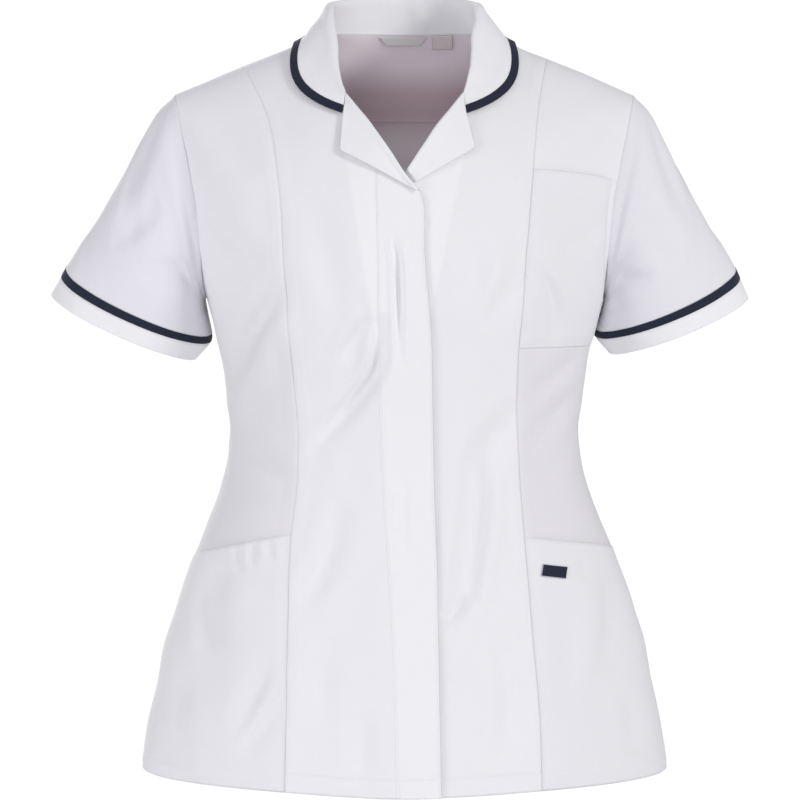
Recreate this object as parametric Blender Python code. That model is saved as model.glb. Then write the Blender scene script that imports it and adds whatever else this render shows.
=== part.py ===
"""Short-sleeved medical tunic, white with navy trim, filled out as it is worn.

Metres, +Z up. The front faces -Y and the wearer's left is +X. The origin lies on the
centre plane and on the shoulder line beside the neck, where shoulders carry the cloth.
Every panel is a thin wall on one surface, the body surface, between its own seams.
"""
import math
from collections import namedtuple

import bmesh
import bpy
import numpy as np

# ---------------------------------------------------------------- driving sizes
CLOTH = 0.0014            # wall of one layer of cloth
FOLDED_CLOTH = 0.0018     # wall where the cloth is doubled: placket, hems, trims
TAPE = 0.0010             # woven labels and tapes
SEAM_GAP = 0.0003         # between two pieces at a seam
LAYER_GAP = 0.0009        # between a panel and what lies on it
ARMHOLE_GAP = 0.0008      # between the body's armhole edge and the sleeve head

HEM_HEIGHT = -0.6705
HEM_FRONT_DROP = 0.0105   # the hem dips a little at the centre front
UNDERARM_HEIGHT = -0.2350
SHOULDER_TIP_HEIGHT = -0.0480
SHOULDER_TIP_OUT = 0.2105
SECTION_POWER = 2.5       # squareness of the body's cross-section
FRONT_ROLL = 0.035        # radius over which the cloth turns forward off the shoulder line
BACK_ROLL = 0.044
ROLL_SPREAD = 0.15        # how soon that turn opens out into the chest
BUST_FULLNESS = 0.008
BUST_OUT = 0.085
BUST_HEIGHT = -0.215
BUST_SPREAD = 0.058

PLACKET_GAP = 0.0009      # between the placket and the panel it turns from
PLACKET_LIFT = 0.0030     # the right front lies this far over the left
LIFT_START = 0.0840       # where the right front starts to rise, before the placket's edge
LIFT_RUN = 0.0420
LIFT_TOP = -0.0850        # the lift fades out between these two heights
LIFT_FULL = -0.1120
UNDERLAP = 0.0350         # how far the left front reaches behind the placket's edge

NECK_SIDE_OUT = 0.0740
GORGE_HEIGHT = -0.0500    # where collar and lapel meet on the roll line
BREAK_HEIGHT = -0.1375    # where the lapel starts to turn back
COLLAR_TRIM_WIDTH = 0.0078
ROLL_HEIGHT = 0.0050      # how high a turned edge stands over the panel below
ROLL_WIDTH = 0.0048
ROLL_TURN = math.radians(118)  # how far the cloth turns over before it lies flat
EDGE_LIFT = 0.0032        # the turned cloth's outer edge over the panel below
BACK_SHARE = 0.42         # share of the collar's run that lies behind the shoulder line
TRIM_PROUD = 0.0004       # how far the navy trims stand out of the cloth beside them
GORGE_GAP = 0.004         # share of the collar's run left free at each end
LAPEL_TOP_GAP = 0.008     # share of the roll line left free at the lapel's top
LAPEL_TIP_SHARE = 0.36    # share of the roll line at which the lapel's tip lies
SLEEVE_HEAD_SHARE = 0.35  # share of the sleeve over which the head's shape fades
SLEEVE_MITRE_SHARE = 0.15

CHEST_POCKET_TOP = (-0.1165, -0.1262)      # height at the princess seam and at the armhole
CHEST_POCKET_BOTTOM = (-0.2780, -0.2780)
RIGHT_POCKET_TOP = (-0.4450, -0.4780)      # height at the princess seam and at the side seam
LEFT_POCKET_TOP = (-0.4480, -0.4680)
POCKET_LABEL_SIZE = (0.0226, 0.0108)
POCKET_LABEL_CENTRE = (0.1345, -0.4800)
POCKET_LABEL_TILT = math.radians(-4.0)
PATCH_MARGIN = 0.012      # share of a panel's width left free beside a pocket
PATCH_HEM_MARGIN = 0.003  # share of a panel's length left free below a pocket
ARMHOLE_MARGIN = 0.09     # the same, towards the sleeve
NECK_TAPE_TOP = (0.0220, -0.0240, 0.0102)      # left end, right end and height
NECK_TAPE_BOTTOM = (0.0155, -0.0175, 0.0026)
SIZE_TAB_TOP = (0.0465, 0.0270, 0.0112)
SIZE_TAB_BOTTOM = (0.0465, 0.0270, -0.0012)

SIDE_COLUMNS = 8
SIDE_ROWS = 30
SLEEVE_COLUMNS = 24
SLEEVE_ROWS = 9
COLLAR_COLUMNS = 34
LAPEL_COLUMNS = 6
SECTION_STEPS = 10        # points of a turned section, less one
PLAIN_ROWS = 1e-6         # rows of even height

COLLECTION = "medical_tunic"
RIGHT = -1
LEFT = 1
SIDES = ((RIGHT, "right"), (LEFT, "left"))
SLEEVE_REACH = {RIGHT: 0.003, LEFT: -0.003}    # one sleeve hangs a little longer than the other
SLEEVE_HANG = {RIGHT: 0.0, LEFT: 0.0080}   # how much lower the outer side of a cuff hangs

# ------------------------------------------------------------ tables of sections
Section = namedtuple("Section", "height half_width front_depth back_depth")
BODY_SECTIONS = (
    Section(0.0400, 0.2240, 0.0700, 0.0820),
    Section(-0.0480, 0.2185, 0.0960, 0.1000),
    Section(-0.0900, 0.2130, 0.1060, 0.1100),
    Section(-0.1200, 0.2080, 0.1120, 0.1150),
    Section(-0.1600, 0.2005, 0.1180, 0.1180),
    Section(-0.2000, 0.1920, 0.1215, 0.1170),
    Section(-0.2350, 0.1830, 0.1210, 0.1130),
    Section(-0.2650, 0.1755, 0.1180, 0.1080),
    Section(-0.2950, 0.1695, 0.1135, 0.1030),
    Section(-0.3250, 0.1655, 0.1090, 0.0980),
    Section(-0.3530, 0.1620, 0.1060, 0.0950),
    Section(-0.3820, 0.1642, 0.1050, 0.0970),
    Section(-0.4120, 0.1720, 0.1070, 0.1030),
    Section(-0.4420, 0.1832, 0.1100, 0.1090),
    Section(-0.4715, 0.1948, 0.1130, 0.1150),
    Section(-0.5010, 0.2055, 0.1160, 0.1200),
    Section(-0.5310, 0.2145, 0.1190, 0.1240),
    Section(-0.5610, 0.2240, 0.1220, 0.1270),
    Section(-0.5906, 0.2298, 0.1240, 0.1290),
    Section(-0.6280, 0.2380, 0.1270, 0.1310),
    Section(-0.6650, 0.2432, 0.1290, 0.1330),
    Section(-0.6850, 0.2450, 0.1300, 0.1340),
)

ShoulderPoint = namedtuple("ShoulderPoint", "out front_height back_height")
SHOULDER_LINE = (
    ShoulderPoint(0.0000, 0.0300, 0.0588),
    ShoulderPoint(0.0300, 0.0260, 0.0512),
    ShoulderPoint(0.0500, 0.0185, 0.0342),
    ShoulderPoint(0.0630, 0.0145, 0.0206),
    ShoulderPoint(0.0740, 0.0104, 0.0104),
    ShoulderPoint(0.1070, -0.0046, -0.0046),
    ShoulderPoint(0.1370, -0.0162, -0.0162),
    ShoulderPoint(0.1810, -0.0343, -0.0343),
    ShoulderPoint(0.2105, -0.0480, -0.0480),
    ShoulderPoint(0.2400, -0.0660, -0.0660),
)

ArmholePoint = namedtuple("ArmholePoint", "height front_out back_out")
ARMHOLE = (
    ArmholePoint(-0.0480, 0.2105, 0.2105),
    ArmholePoint(-0.0800, 0.2035, 0.2025),
    ArmholePoint(-0.1070, 0.1975, 0.1960),
    ArmholePoint(-0.1440, 0.1905, 0.1895),
    ArmholePoint(-0.1800, 0.1865, 0.1860),
    ArmholePoint(-0.2100, 0.1853, 0.1850),
    ArmholePoint(-0.2250, 0.1842, 0.1842),
    ArmholePoint(-0.2350, 0.1830, 0.1830),
)

FrontSeam = namedtuple("FrontSeam", "height princess_right princess_left")
PRINCESS_SEAMS = (
    FrontSeam(0.0000, 0.1590, 0.1345),
    FrontSeam(-0.0180, 0.1500, 0.1300),
    FrontSeam(-0.0620, 0.1269, 0.1213),
    FrontSeam(-0.1270, 0.1136, 0.1150),
    FrontSeam(-0.2075, 0.1076, 0.1085),
    FrontSeam(-0.2900, 0.1010, 0.1022),
    FrontSeam(-0.3650, 0.0962, 0.1026),
    FrontSeam(-0.4000, 0.0974, 0.1045),
    FrontSeam(-0.4500, 0.1027, 0.1086),
    FrontSeam(-0.5300, 0.1050, 0.1150),
    FrontSeam(-0.6100, 0.1063, 0.1214),
    FrontSeam(-0.6850, 0.1080, 0.1240),
)

EdgePoint = namedtuple("EdgePoint", "height out")
PLACKET_EDGE = (
    EdgePoint(-0.0600, 0.0140),
    EdgePoint(-0.1375, 0.0140),
    EdgePoint(-0.1450, 0.0160),
    EdgePoint(-0.1900, 0.0178),
    EdgePoint(-0.2340, 0.0214),
    EdgePoint(-0.2620, 0.0236),
    EdgePoint(-0.3240, 0.0250),
    EdgePoint(-0.4130, 0.0268),
    EdgePoint(-0.4665, 0.0286),
    EdgePoint(-0.5900, 0.0312),
    EdgePoint(-0.6850, 0.0330),
)
# the stitched line where the right front turns into the placket
PLACKET_LINE = (
    EdgePoint(-0.0600, -0.0250),
    EdgePoint(-0.1375, -0.0250),
    EdgePoint(-0.1650, -0.0246),
    EdgePoint(-0.2400, -0.0236),
    EdgePoint(-0.3100, -0.0223),
    EdgePoint(-0.3600, -0.0211),
    EdgePoint(-0.4150, -0.0184),
    EdgePoint(-0.4700, -0.0147),
    EdgePoint(-0.5415, -0.0106),
    EdgePoint(-0.6200, -0.0080),
    EdgePoint(-0.6850, -0.0062),
)
# the neck edge of a front: neckline under the collar, then the lapel's roll line
FRONT_NECK = (
    EdgePoint(0.0104, 0.0740),
    EdgePoint(-0.0040, 0.0730),
    EdgePoint(-0.0146, 0.0705),
    EdgePoint(-0.0270, 0.0660),
    EdgePoint(-0.0380, 0.0605),
    EdgePoint(-0.0470, 0.0545),
    EdgePoint(-0.0560, 0.0470),
    EdgePoint(-0.0645, 0.0400),
    EdgePoint(-0.0720, 0.0338),
    EdgePoint(-0.0965, 0.0165),
    EdgePoint(-0.1205, 0.0005),
    EdgePoint(-0.1375, -0.0130),
)
BACK_NECK = (
    EdgePoint(0.0123, 0.0000),
    EdgePoint(0.0123, 0.0300),
    EdgePoint(0.0118, 0.0500),
    EdgePoint(0.0110, 0.0630),
    EdgePoint(0.0104, 0.0740),
)
# the collar's outer edge, before and behind the shoulder line
COLLAR_EDGE_FRONT = (
    EdgePoint(0.0007, 0.0985),
    EdgePoint(-0.0058, 0.1010),
    EdgePoint(-0.0156, 0.1030),
    EdgePoint(-0.0258, 0.1030),
    EdgePoint(-0.0364, 0.1005),
    EdgePoint(-0.0466, 0.0940),
    EdgePoint(-0.0520, 0.0882),
    EdgePoint(-0.0570, 0.0812),
    EdgePoint(-0.0615, 0.0728),
    EdgePoint(-0.0658, 0.0626),
    EdgePoint(-0.0682, 0.0555),
)
COLLAR_EDGE_BACK = (
    EdgePoint(-0.0060, 0.0000),
    EdgePoint(-0.0065, 0.0400),
    EdgePoint(-0.0060, 0.0700),
    EdgePoint(-0.0030, 0.0880),
    EdgePoint(0.0007, 0.0985),
)

# rise: how high the fold stands over the seam; lean: how far it tips towards the neck
StandPoint = namedtuple("StandPoint", "turn rise lean")
COLLAR_STAND = (
    StandPoint(0.00, 0.0345, -0.0050),
    StandPoint(0.25, 0.0310, 0.0030),
    StandPoint(0.42, 0.0260, 0.0085),
    StandPoint(0.57, 0.0225, 0.0100),
    StandPoint(0.71, 0.0160, 0.0125),
    StandPoint(0.86, 0.0085, 0.0085),
    StandPoint(1.00, 0.0055, 0.0010),
)

YokePoint = namedtuple("YokePoint", "out height")
YOKE_SEAM = (
    YokePoint(0.0000, -0.0700),
    YokePoint(0.1000, -0.0740),
    YokePoint(0.2100, -0.0860),
)

# rings of the sleeve in the front view: the outer and the inner end of each
Ring = namedtuple("Ring", "run outer_out outer_height inner_out inner_height half_depth drop")
SLEEVE_RINGS = (
    Ring(0.00, 0.2105, -0.0480, 0.1835, -0.2352, 0.0500, 0.0000),
    Ring(0.10, 0.2245, -0.0610, 0.1845, -0.2372, 0.0530, 0.0005),
    Ring(0.22, 0.2390, -0.0860, 0.1838, -0.2410, 0.0560, 0.0015),
    Ring(0.42, 0.2610, -0.1240, 0.1818, -0.2485, 0.0575, 0.0035),
    Ring(0.62, 0.2835, -0.1620, 0.1798, -0.2572, 0.0560, 0.0060),
    Ring(0.78, 0.3015, -0.1865, 0.1785, -0.2630, 0.0530, 0.0100),
    Ring(0.88, 0.3130, -0.2040, 0.1780, -0.2665, 0.0500, 0.0122),
    Ring(0.92, 0.3168, -0.2108, 0.1782, -0.2725, 0.0490, 0.0122),
    Ring(1.00, 0.3262, -0.2280, 0.1915, -0.2886, 0.0460, 0.0085),
)
TRIM_START = 0.877
TRIM_END = 0.92

# outer edge of a turned lapel, each place (out, height) on its own side
Lapel = namedtuple("Lapel", "notch tip end reach")
LAPELS = {
    RIGHT: Lapel((0.0545, -0.0684), (0.0574, -0.1012), (-0.0120, -0.1420), 0.900),
    LEFT: Lapel((0.0550, -0.0684), (0.0628, -0.0992), (-0.0165, -0.1450), 0.790),
}

# soft folds of the front, top to bottom; a trough has a height below zero
Fold = namedtuple("Fold", "top bottom top_out middle_out bottom_out breadth height")
LARGE_FOLDS = (
    Fold(-0.2350, -0.3450, -0.1040, -0.1270, -0.1540, 0.0140, 0.0030),
    Fold(-0.2100, -0.3100, -0.1150, -0.1330, -0.1580, 0.0150, -0.0035),
    Fold(-0.2450, -0.3650, -0.0240, -0.0440, -0.0930, 0.0150, -0.0040),
    Fold(-0.2900, -0.5450, 0.0880, 0.0660, 0.0320, 0.0190, -0.0035),
    Fold(-0.4700, -0.6100, -0.1760, -0.1760, -0.1860, 0.0200, -0.0040),
    Fold(-0.5200, -0.6700, 0.1900, 0.1850, 0.1960, 0.0220, -0.0035),
)

Finish = namedtuple("Finish", "name colour roughness")
WHITE = Finish("white_cloth", (0.86, 0.86, 0.88, 1.0), 0.85)
NAVY = Finish("navy_trim", (0.012, 0.016, 0.040, 1.0), 0.80)
GREY_TAPE = Finish("woven_tape", (0.62, 0.60, 0.56, 1.0), 0.85)


# ---------------------------------------------------------------- reading tables
class Line:
    """A smooth line through one column of a table, read at any place along another."""

    def __init__(self, table, along, column, mirrored=False):
        rows = {(getattr(row, along), getattr(row, column)) for row in table}
        if mirrored:
            rows |= {(-place, value) for place, value in rows}
        self.places, self.values = np.array(sorted(rows)).T
        self.slopes = np.gradient(self.values, self.places)

    def __call__(self, place):
        place = np.clip(place, self.places[0], self.places[-1])
        cell = np.clip(np.searchsorted(self.places, place) - 1, 0, len(self.places) - 2)
        width = self.places[cell + 1] - self.places[cell]
        part = (place - self.places[cell]) / width
        return hermite(part, self.values[cell], self.values[cell + 1],
                       self.slopes[cell] * width, self.slopes[cell + 1] * width)


def hermite(part, start, end, leave, arrive):
    """Cubic from start to end with the given slopes, for a part from 0 to 1."""
    return (start * (1 + 2 * part) * (1 - part) ** 2 + end * (3 - 2 * part) * part ** 2
            + leave * part * (1 - part) ** 2 + arrive * part ** 2 * (part - 1))


def smooth_through(points, place):
    """Point at a place, counted in steps from point to point, on a smooth curve."""
    reach = np.concatenate(([0.0], np.cumsum(np.linalg.norm(np.diff(points, axis=0), axis=1))))
    slopes = np.gradient(points, reach, axis=0)
    cell = np.clip(np.floor(place).astype(int), 0, len(points) - 2)
    part = (place - cell)[:, None]
    width = (reach[cell + 1] - reach[cell])[:, None]
    return hermite(part, points[cell], points[cell + 1], slopes[cell] * width, slopes[cell + 1] * width)


class Path:
    """A run of points in space, read at a share of its length from 0 to 1."""

    def __init__(self, points):
        self.points = np.asarray(points)
        steps = np.linalg.norm(np.diff(self.points, axis=0), axis=1)
        self.reach = np.concatenate(([0.0], np.cumsum(steps)))

    def at(self, share):
        place = np.clip(share, 0.0, 1.0) * self.reach[-1]
        return np.array([np.interp(place, self.reach, column) for column in self.points.T])


half_width = Line(BODY_SECTIONS, "height", "half_width")
front_depth = Line(BODY_SECTIONS, "height", "front_depth")
back_depth = Line(BODY_SECTIONS, "height", "back_depth")
front_shoulder = Line(SHOULDER_LINE, "out", "front_height", mirrored=True)
back_shoulder = Line(SHOULDER_LINE, "out", "back_height", mirrored=True)
front_armhole = Line(ARMHOLE, "height", "front_out")
back_armhole = Line(ARMHOLE, "height", "back_out")
placket_edge = Line(PLACKET_EDGE, "height", "out")
placket_line = Line(PLACKET_LINE, "height", "out")
front_neck = Line(FRONT_NECK, "height", "out")
back_neck = Line(BACK_NECK, "out", "height", mirrored=True)
collar_front = Line(COLLAR_EDGE_FRONT, "height", "out")
collar_back = Line(COLLAR_EDGE_BACK, "out", "height", mirrored=True)
yoke_seam = Line(YOKE_SEAM, "out", "height", mirrored=True)
stand_rise = Line(COLLAR_STAND, "turn", "rise")
stand_lean = Line(COLLAR_STAND, "turn", "lean")
princess = {
    RIGHT: Line(PRINCESS_SEAMS, "height", "princess_right"),
    LEFT: Line(PRINCESS_SEAMS, "height", "princess_left"),
}
ring_line = {column: Line(SLEEVE_RINGS, "run", column) for column in Ring._fields[1:]}


# -------------------------------------------------------------- the body surface
def ease(part):
    """0 to 1 with level ends."""
    part = np.clip(part, 0.0, 1.0)
    return part * part * (3 - 2 * part)


def unit(vectors):
    return vectors / np.maximum(np.linalg.norm(vectors, axis=-1, keepdims=True), 1e-12)


def soft_min(first, second):
    """The smaller of two lengths, eased where they are alike."""
    return first * second / np.maximum((first ** 4 + second ** 4) ** 0.25, 1e-12)


def plain_depth(out, height, front):
    """Depth of the cross-section itself, before the shoulders round it off."""
    share = np.clip(np.abs(out) / half_width(height), 0.0, 1.0)
    full = np.where(front, front_depth(height), back_depth(height))
    return full * (1 - share ** SECTION_POWER) ** (1 / SECTION_POWER)


def shoulder_drop(out, height, front):
    """How far a place lies below the shoulder line."""
    return np.where(front, front_shoulder(out), back_shoulder(out)) - height


def surface_depth(out, height, front):
    """How far the cloth lies before (or behind) the shoulder plane."""
    away = ((np.abs(out) - BUST_OUT) ** 2 + (height - BUST_HEIGHT) ** 2) / BUST_SPREAD ** 2
    share = np.clip(np.abs(out) / half_width(height), 0.0, 1.0)
    fullness = BUST_FULLNESS * np.exp(-away) * (1 - share ** SECTION_POWER)
    section = plain_depth(out, height, front) + np.where(front, fullness, 0.0)
    drop = np.maximum(shoulder_drop(out, height, front), 0.0)
    roll = np.where(front, FRONT_ROLL, BACK_ROLL)
    return soft_min(section, np.sqrt(2 * roll * drop) * (1 + (drop / ROLL_SPREAD) ** 2))


def fold_rise(out, height, folds):
    """Rise (or fall) of the front's cloth from its soft folds."""
    total = 0.0 * out * height
    for fold in folds:
        share = np.clip((fold.top - height) / (fold.top - fold.bottom), 0.0, 1.0)
        middle = (fold.top_out * (1 - share) * (1 - 2 * share)
                  + fold.middle_out * 4 * share * (1 - share)
                  + fold.bottom_out * share * (2 * share - 1))
        lean = (fold.bottom_out - fold.top_out) / (fold.top - fold.bottom)
        away = (out - middle) / math.hypot(1.0, lean)
        total = total + fold.height * np.sin(math.pi * share) * np.exp(-((away / fold.breadth) ** 2))
    return total


def body_point(angle, height):
    """Point of the body surface; angle 0 is the centre front, +90 degrees the left side."""
    front = np.cos(angle) > 0
    full = np.where(front, front_depth(height), back_depth(height))
    across = (np.abs(np.sin(angle)) / half_width(height)) ** SECTION_POWER
    deep = (np.abs(np.cos(angle)) / full) ** SECTION_POWER
    out = np.sin(angle) / (across + deep) ** (1 / SECTION_POWER)
    depth = surface_depth(out, height, front) + SEAM_GAP / 2
    point = np.stack([out, np.where(front, -depth, depth), height + 0 * out], axis=-1)
    rise = np.where(front, fold_rise(out, height, LARGE_FOLDS), 0.0)
    return point + unit(point * (1.0, 1.0, 0.0)) * rise[..., None]


def front_angle(out, height):
    """Angle at which the front of the surface lies this far out."""
    return np.arctan2(out, np.maximum(plain_depth(out, height, True), 1e-6))


def back_angle(out, height):
    return math.pi - np.arctan2(out, np.maximum(plain_depth(out, height, False), 1e-6))


def body_gap(points):
    """Distance of points outside the body surface, and the direction away from it."""
    def outside(spots):
        out, deep, height = spots.T
        drop = shoulder_drop(out, height, deep < 0)
        roll = np.where(deep < 0, FRONT_ROLL, BACK_ROLL)
        inner = surface_depth(out, height, deep < 0) ** 2
        return deep ** 2 - np.where(drop > 0, inner, 2 * roll * drop)

    step = 1e-5
    slopes = [(outside(points + step * axis) - outside(points - step * axis)) / (2 * step)
              for axis in np.eye(3)]
    gradient = np.stack(slopes, axis=-1)
    return outside(points) / np.linalg.norm(gradient, axis=-1), unit(gradient)


def pushed_clear(points, lift):
    """Points moved out until they lie at least a lift away from the body surface."""
    for _ in range(6):
        gap, away = body_gap(points)
        points = points + away * np.maximum(lift - gap, 0.0)[:, None]
    return points


def place_on(out, height, front):
    """Point of the surface at a place in the front (or back) view, and its normal."""
    height = np.minimum(height, height + shoulder_drop(out, height, front) - 1e-5)
    depth = surface_depth(out, height, front) + SEAM_GAP / 2
    point = np.stack([out + 0 * height, np.where(front, -depth, depth), height + 0 * out], axis=-1)
    return point, body_gap(point.reshape(-1, 3))[1].reshape(point.shape)


# ---------------------------------------------------------------- building walls
def surface_normals(surface, across, along):
    """Normals of a surface that is read at two shares from 0 to 1."""
    step = 2e-4
    left = surface(np.maximum(across - step, 0.0), along)
    right = surface(np.minimum(across + step, 1.0), along)
    above = surface(across, np.maximum(along - step, 0.0))
    below = surface(across, np.minimum(along + step, 1.0))
    return unit(np.cross(below - above, right - left))


def make_material(finish):
    material = bpy.data.materials.get(finish.name)
    if material is None:
        material = bpy.data.materials.new(finish.name)
        material.use_nodes = True
        material.diffuse_color = finish.colour
        shader = material.node_tree.nodes["Principled BSDF"]
        shader.inputs["Base Color"].default_value = finish.colour
        shader.inputs["Roughness"].default_value = finish.roughness
        shader.inputs["Metallic"].default_value = 0.0
    return material


def make_wall(name, columns, rows, faces, finish, ring=False):
    """A grid laid on a surface and extruded to its thickness: one closed wall.

    faces(across, along) gives the outer and the inner points for shares from 0 to 1.
    A ring's last column is its first one.
    """
    shape = bmesh.new()
    bmesh.ops.create_grid(shape, x_segments=columns, y_segments=rows, size=0.5)
    across_layer = shape.verts.layers.float.new("across")
    along_layer = shape.verts.layers.float.new("along")
    for corner in shape.verts:
        across, along = corner.co.x + 0.5, 0.5 - corner.co.y
        corner[across_layer] = across
        corner[along_layer] = along
        if ring:
            turn = 2 * math.pi * across
            corner.co = (math.cos(turn), math.sin(turn), along)
    if ring:
        bmesh.ops.remove_doubles(shape, verts=shape.verts[:], dist=1e-4)
    outer = list(shape.verts)
    grown = bmesh.ops.extrude_face_region(shape, geom=shape.faces[:], use_keep_orig=True)
    inner = [item for item in grown["geom"] if isinstance(item, bmesh.types.BMVert)]
    for corners, side in ((outer, 0), (inner, 1)):
        across = np.round([corner[across_layer] for corner in corners], 6)
        along = np.round([corner[along_layer] for corner in corners], 6)
        for corner, place in zip(corners, faces(across, along)[side]):
            corner.co = place
    shape.verts.layers.float.remove(across_layer)
    shape.verts.layers.float.remove(shape.verts.layers.float["along"])
    bmesh.ops.recalc_face_normals(shape, faces=shape.faces[:])
    mesh = bpy.data.meshes.new(name)
    shape.to_mesh(mesh)
    shape.free()
    mesh.materials.append(make_material(finish))
    piece = bpy.data.objects.new(name, mesh)
    bpy.data.collections[COLLECTION].objects.link(piece)
    return piece


def wall_of(surface, thickness, lift=None):
    """Outer and inner points of a wall on a surface, raised along the normals by a lift."""
    def faces(across, along):
        points = surface(across, along)
        normals = surface_normals(surface, across, along)
        if lift is not None:
            points = points + normals * np.reshape(lift(points), (-1, 1))
        return points, points - normals * thickness

    return faces


# --------------------------------------------------------------------- the panels
class Panel:
    """The body surface between two seams, from a top edge down to a bottom edge.

    A seam gives an angle at a height, and the first seam has the smaller angle. A top
    or bottom gives a height for a place out. Rows crowd towards a top on the shoulder.
    """

    def __init__(self, first, second, top, bottom=None, crowd=0.12):
        self.first = first
        self.second = second
        self.top = top
        self.bottom = bottom
        self.crowd = crowd

    def angle(self, across, height):
        return self.first(height) * (1 - across) + self.second(height) * across

    def meet(self, across, edge, height):
        """Height at which a column meets an edge."""
        for _ in range(14):
            height = edge(body_point(self.angle(across, height), height)[..., 0]) + 0 * across
        return height

    def ends(self, across):
        top = self.meet(across, self.top, -0.02 + 0 * across)
        if self.bottom is None:
            front = np.maximum(np.cos(self.angle(across, HEM_HEIGHT + 0 * across)), 0.0)
            return top, HEM_HEIGHT - HEM_FRONT_DROP * front ** 2
        return top, self.meet(across, self.bottom, top)

    def point(self, across, along):
        top, bottom = self.ends(across)
        share = along ** 2 * (1 + self.crowd) / (along + self.crowd)
        height = top + (bottom - top) * share
        return body_point(self.angle(across, height), height)

    def along_at(self, across, height):
        """Share along a column at which it reaches a height."""
        top, bottom = self.ends(across)
        share = (height - top) / (bottom - top)
        root = share ** 2 + 4 * (1 + self.crowd) * self.crowd * share
        return (share + np.sqrt(root)) / (2 * (1 + self.crowd))


def princess_seam(side, inward):
    """The princess seam's angle, moved towards the centre (or away) by a little."""
    return lambda height: front_angle(side * (princess[side](height) - inward), height)


def side_edge(side, armhole, angle_of, behind):
    """Angle of a panel's outer edge: the armhole, and the side seam below it."""
    def edge(height):
        out = np.minimum(armhole(height), half_width(height))
        seam = math.pi / 2 + (1e-7 if behind else -1e-7)
        if side == RIGHT:
            seam = 2 * math.pi - seam if behind else -seam
        return np.where(height > UNDERARM_HEIGHT, angle_of(side * out, height), seam)

    return edge


def overlap_lift(points):
    """The right front rises over the left one as it nears the placket."""
    start = placket_edge(points[..., 2]) - LIFT_START
    below = ease((points[..., 2] - LIFT_TOP) / (LIFT_FULL - LIFT_TOP))
    return PLACKET_LIFT * below * ease((points[..., 0] - start) / LIFT_RUN)


def right_front_edge(height):
    out = np.minimum(-front_neck(height), placket_line(height))
    return front_angle(out - SEAM_GAP / 2, height)


def left_front_edge(height):
    out = np.maximum(front_neck(height), placket_edge(height) - UNDERLAP)
    return front_angle(out, height)


def placket_top(out):
    """Height of the right front's roll line over the placket."""
    heights = np.linspace(BREAK_HEIGHT, GORGE_HEIGHT, 60)
    return np.interp(-out, front_neck(heights), heights)


def make_fronts():
    half = SEAM_GAP / 2
    right = Panel(princess_seam(RIGHT, half), right_front_edge, front_shoulder)
    make_wall("front_right", 6, 30, wall_of(right.point, CLOTH, overlap_lift), WHITE)
    left = Panel(left_front_edge, princess_seam(LEFT, half), front_shoulder)
    make_wall("front_left", 7, 30, wall_of(left.point, CLOTH), WHITE)
    placket = Panel(
        lambda height: front_angle(placket_line(height) + PLACKET_GAP, height),
        lambda height: front_angle(placket_edge(height), height),
        placket_top,
        crowd=PLAIN_ROWS,
    )
    make_wall("placket", 2, 28, wall_of(placket.point, FOLDED_CLOTH, overlap_lift), WHITE)


def make_side_fronts():
    panels = {}
    for side, word in SIDES:
        seam = princess_seam(side, -SEAM_GAP / 2)
        outer = side_edge(side, front_armhole, front_angle, behind=False)
        edges = (seam, outer) if side == LEFT else (outer, seam)
        panels[side] = Panel(*edges, front_shoulder)
        make_wall(f"side_front_{word}", SIDE_COLUMNS, SIDE_ROWS, wall_of(panels[side].point, CLOTH), WHITE)
    return panels


def make_back():
    left = side_edge(LEFT, back_armhole, back_angle, behind=True)
    right = side_edge(RIGHT, back_armhole, back_angle, behind=True)

    def yoke_top(out):
        return np.where(np.abs(out) < NECK_SIDE_OUT, back_neck(out), back_shoulder(out))

    yoke = Panel(left, right, yoke_top, lambda out: yoke_seam(out) + SEAM_GAP / 2)
    make_wall("back_yoke", 24, 5, wall_of(yoke.point, CLOTH), WHITE)
    back = Panel(left, right, lambda out: yoke_seam(out) - SEAM_GAP / 2, crowd=PLAIN_ROWS)
    make_wall("back", 22, 24, wall_of(back.point, CLOTH), WHITE)


# -------------------------------------------------------------------- the sleeves
def sleeve_ring(side, turn, run):
    """Point of the tube itself, on the left side; turn 0 is its outermost line."""
    ring = {column: line(run) for column, line in ring_line.items()}
    hang = SLEEVE_HANG[side] * run ** 2
    outer = np.stack([ring["outer_out"] - 0.8 * hang, 0 * run, ring["outer_height"] - hang], axis=-1)
    inner = np.stack([ring["inner_out"], 0 * run, ring["inner_height"]], axis=-1)
    major = (outer - inner) / 2
    axis = unit(np.stack([major[..., 2], 0 * run, -major[..., 0]], axis=-1))
    forward = np.sin(turn)
    reach = ring["drop"] * forward + SLEEVE_REACH[side] * run
    point = (outer + inner) / 2 + major * np.cos(turn)[..., None] + axis * reach[..., None]
    point[..., 1] -= ring["half_depth"] * forward
    return point


def armhole_loop(turn):
    """Point of the armhole's edge, on the left side, a little outside the body."""
    middle = (SHOULDER_TIP_HEIGHT + UNDERARM_HEIGHT) / 2
    height = middle + (SHOULDER_TIP_HEIGHT - middle) * np.cos(turn)
    front = np.sin(turn) > 0
    out = np.minimum(np.where(front, front_armhole(height), back_armhole(height)), half_width(height))
    depth = surface_depth(out, height, front) + SEAM_GAP / 2
    return np.stack([out + ARMHOLE_GAP, np.where(front, -depth, depth), height], axis=-1)


def sleeve_point(side, across, run):
    """Point of a sleeve: round it from its outermost line, and along it from the armhole."""
    turn = -side * 2 * math.pi * across
    fade = 1 - ease(run / SLEEVE_HEAD_SHARE)[..., None]
    head = armhole_loop(turn) - sleeve_ring(side, turn, 0 * run)
    return (sleeve_ring(side, turn, run) + head * fade) * (side, 1, 1)


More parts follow.
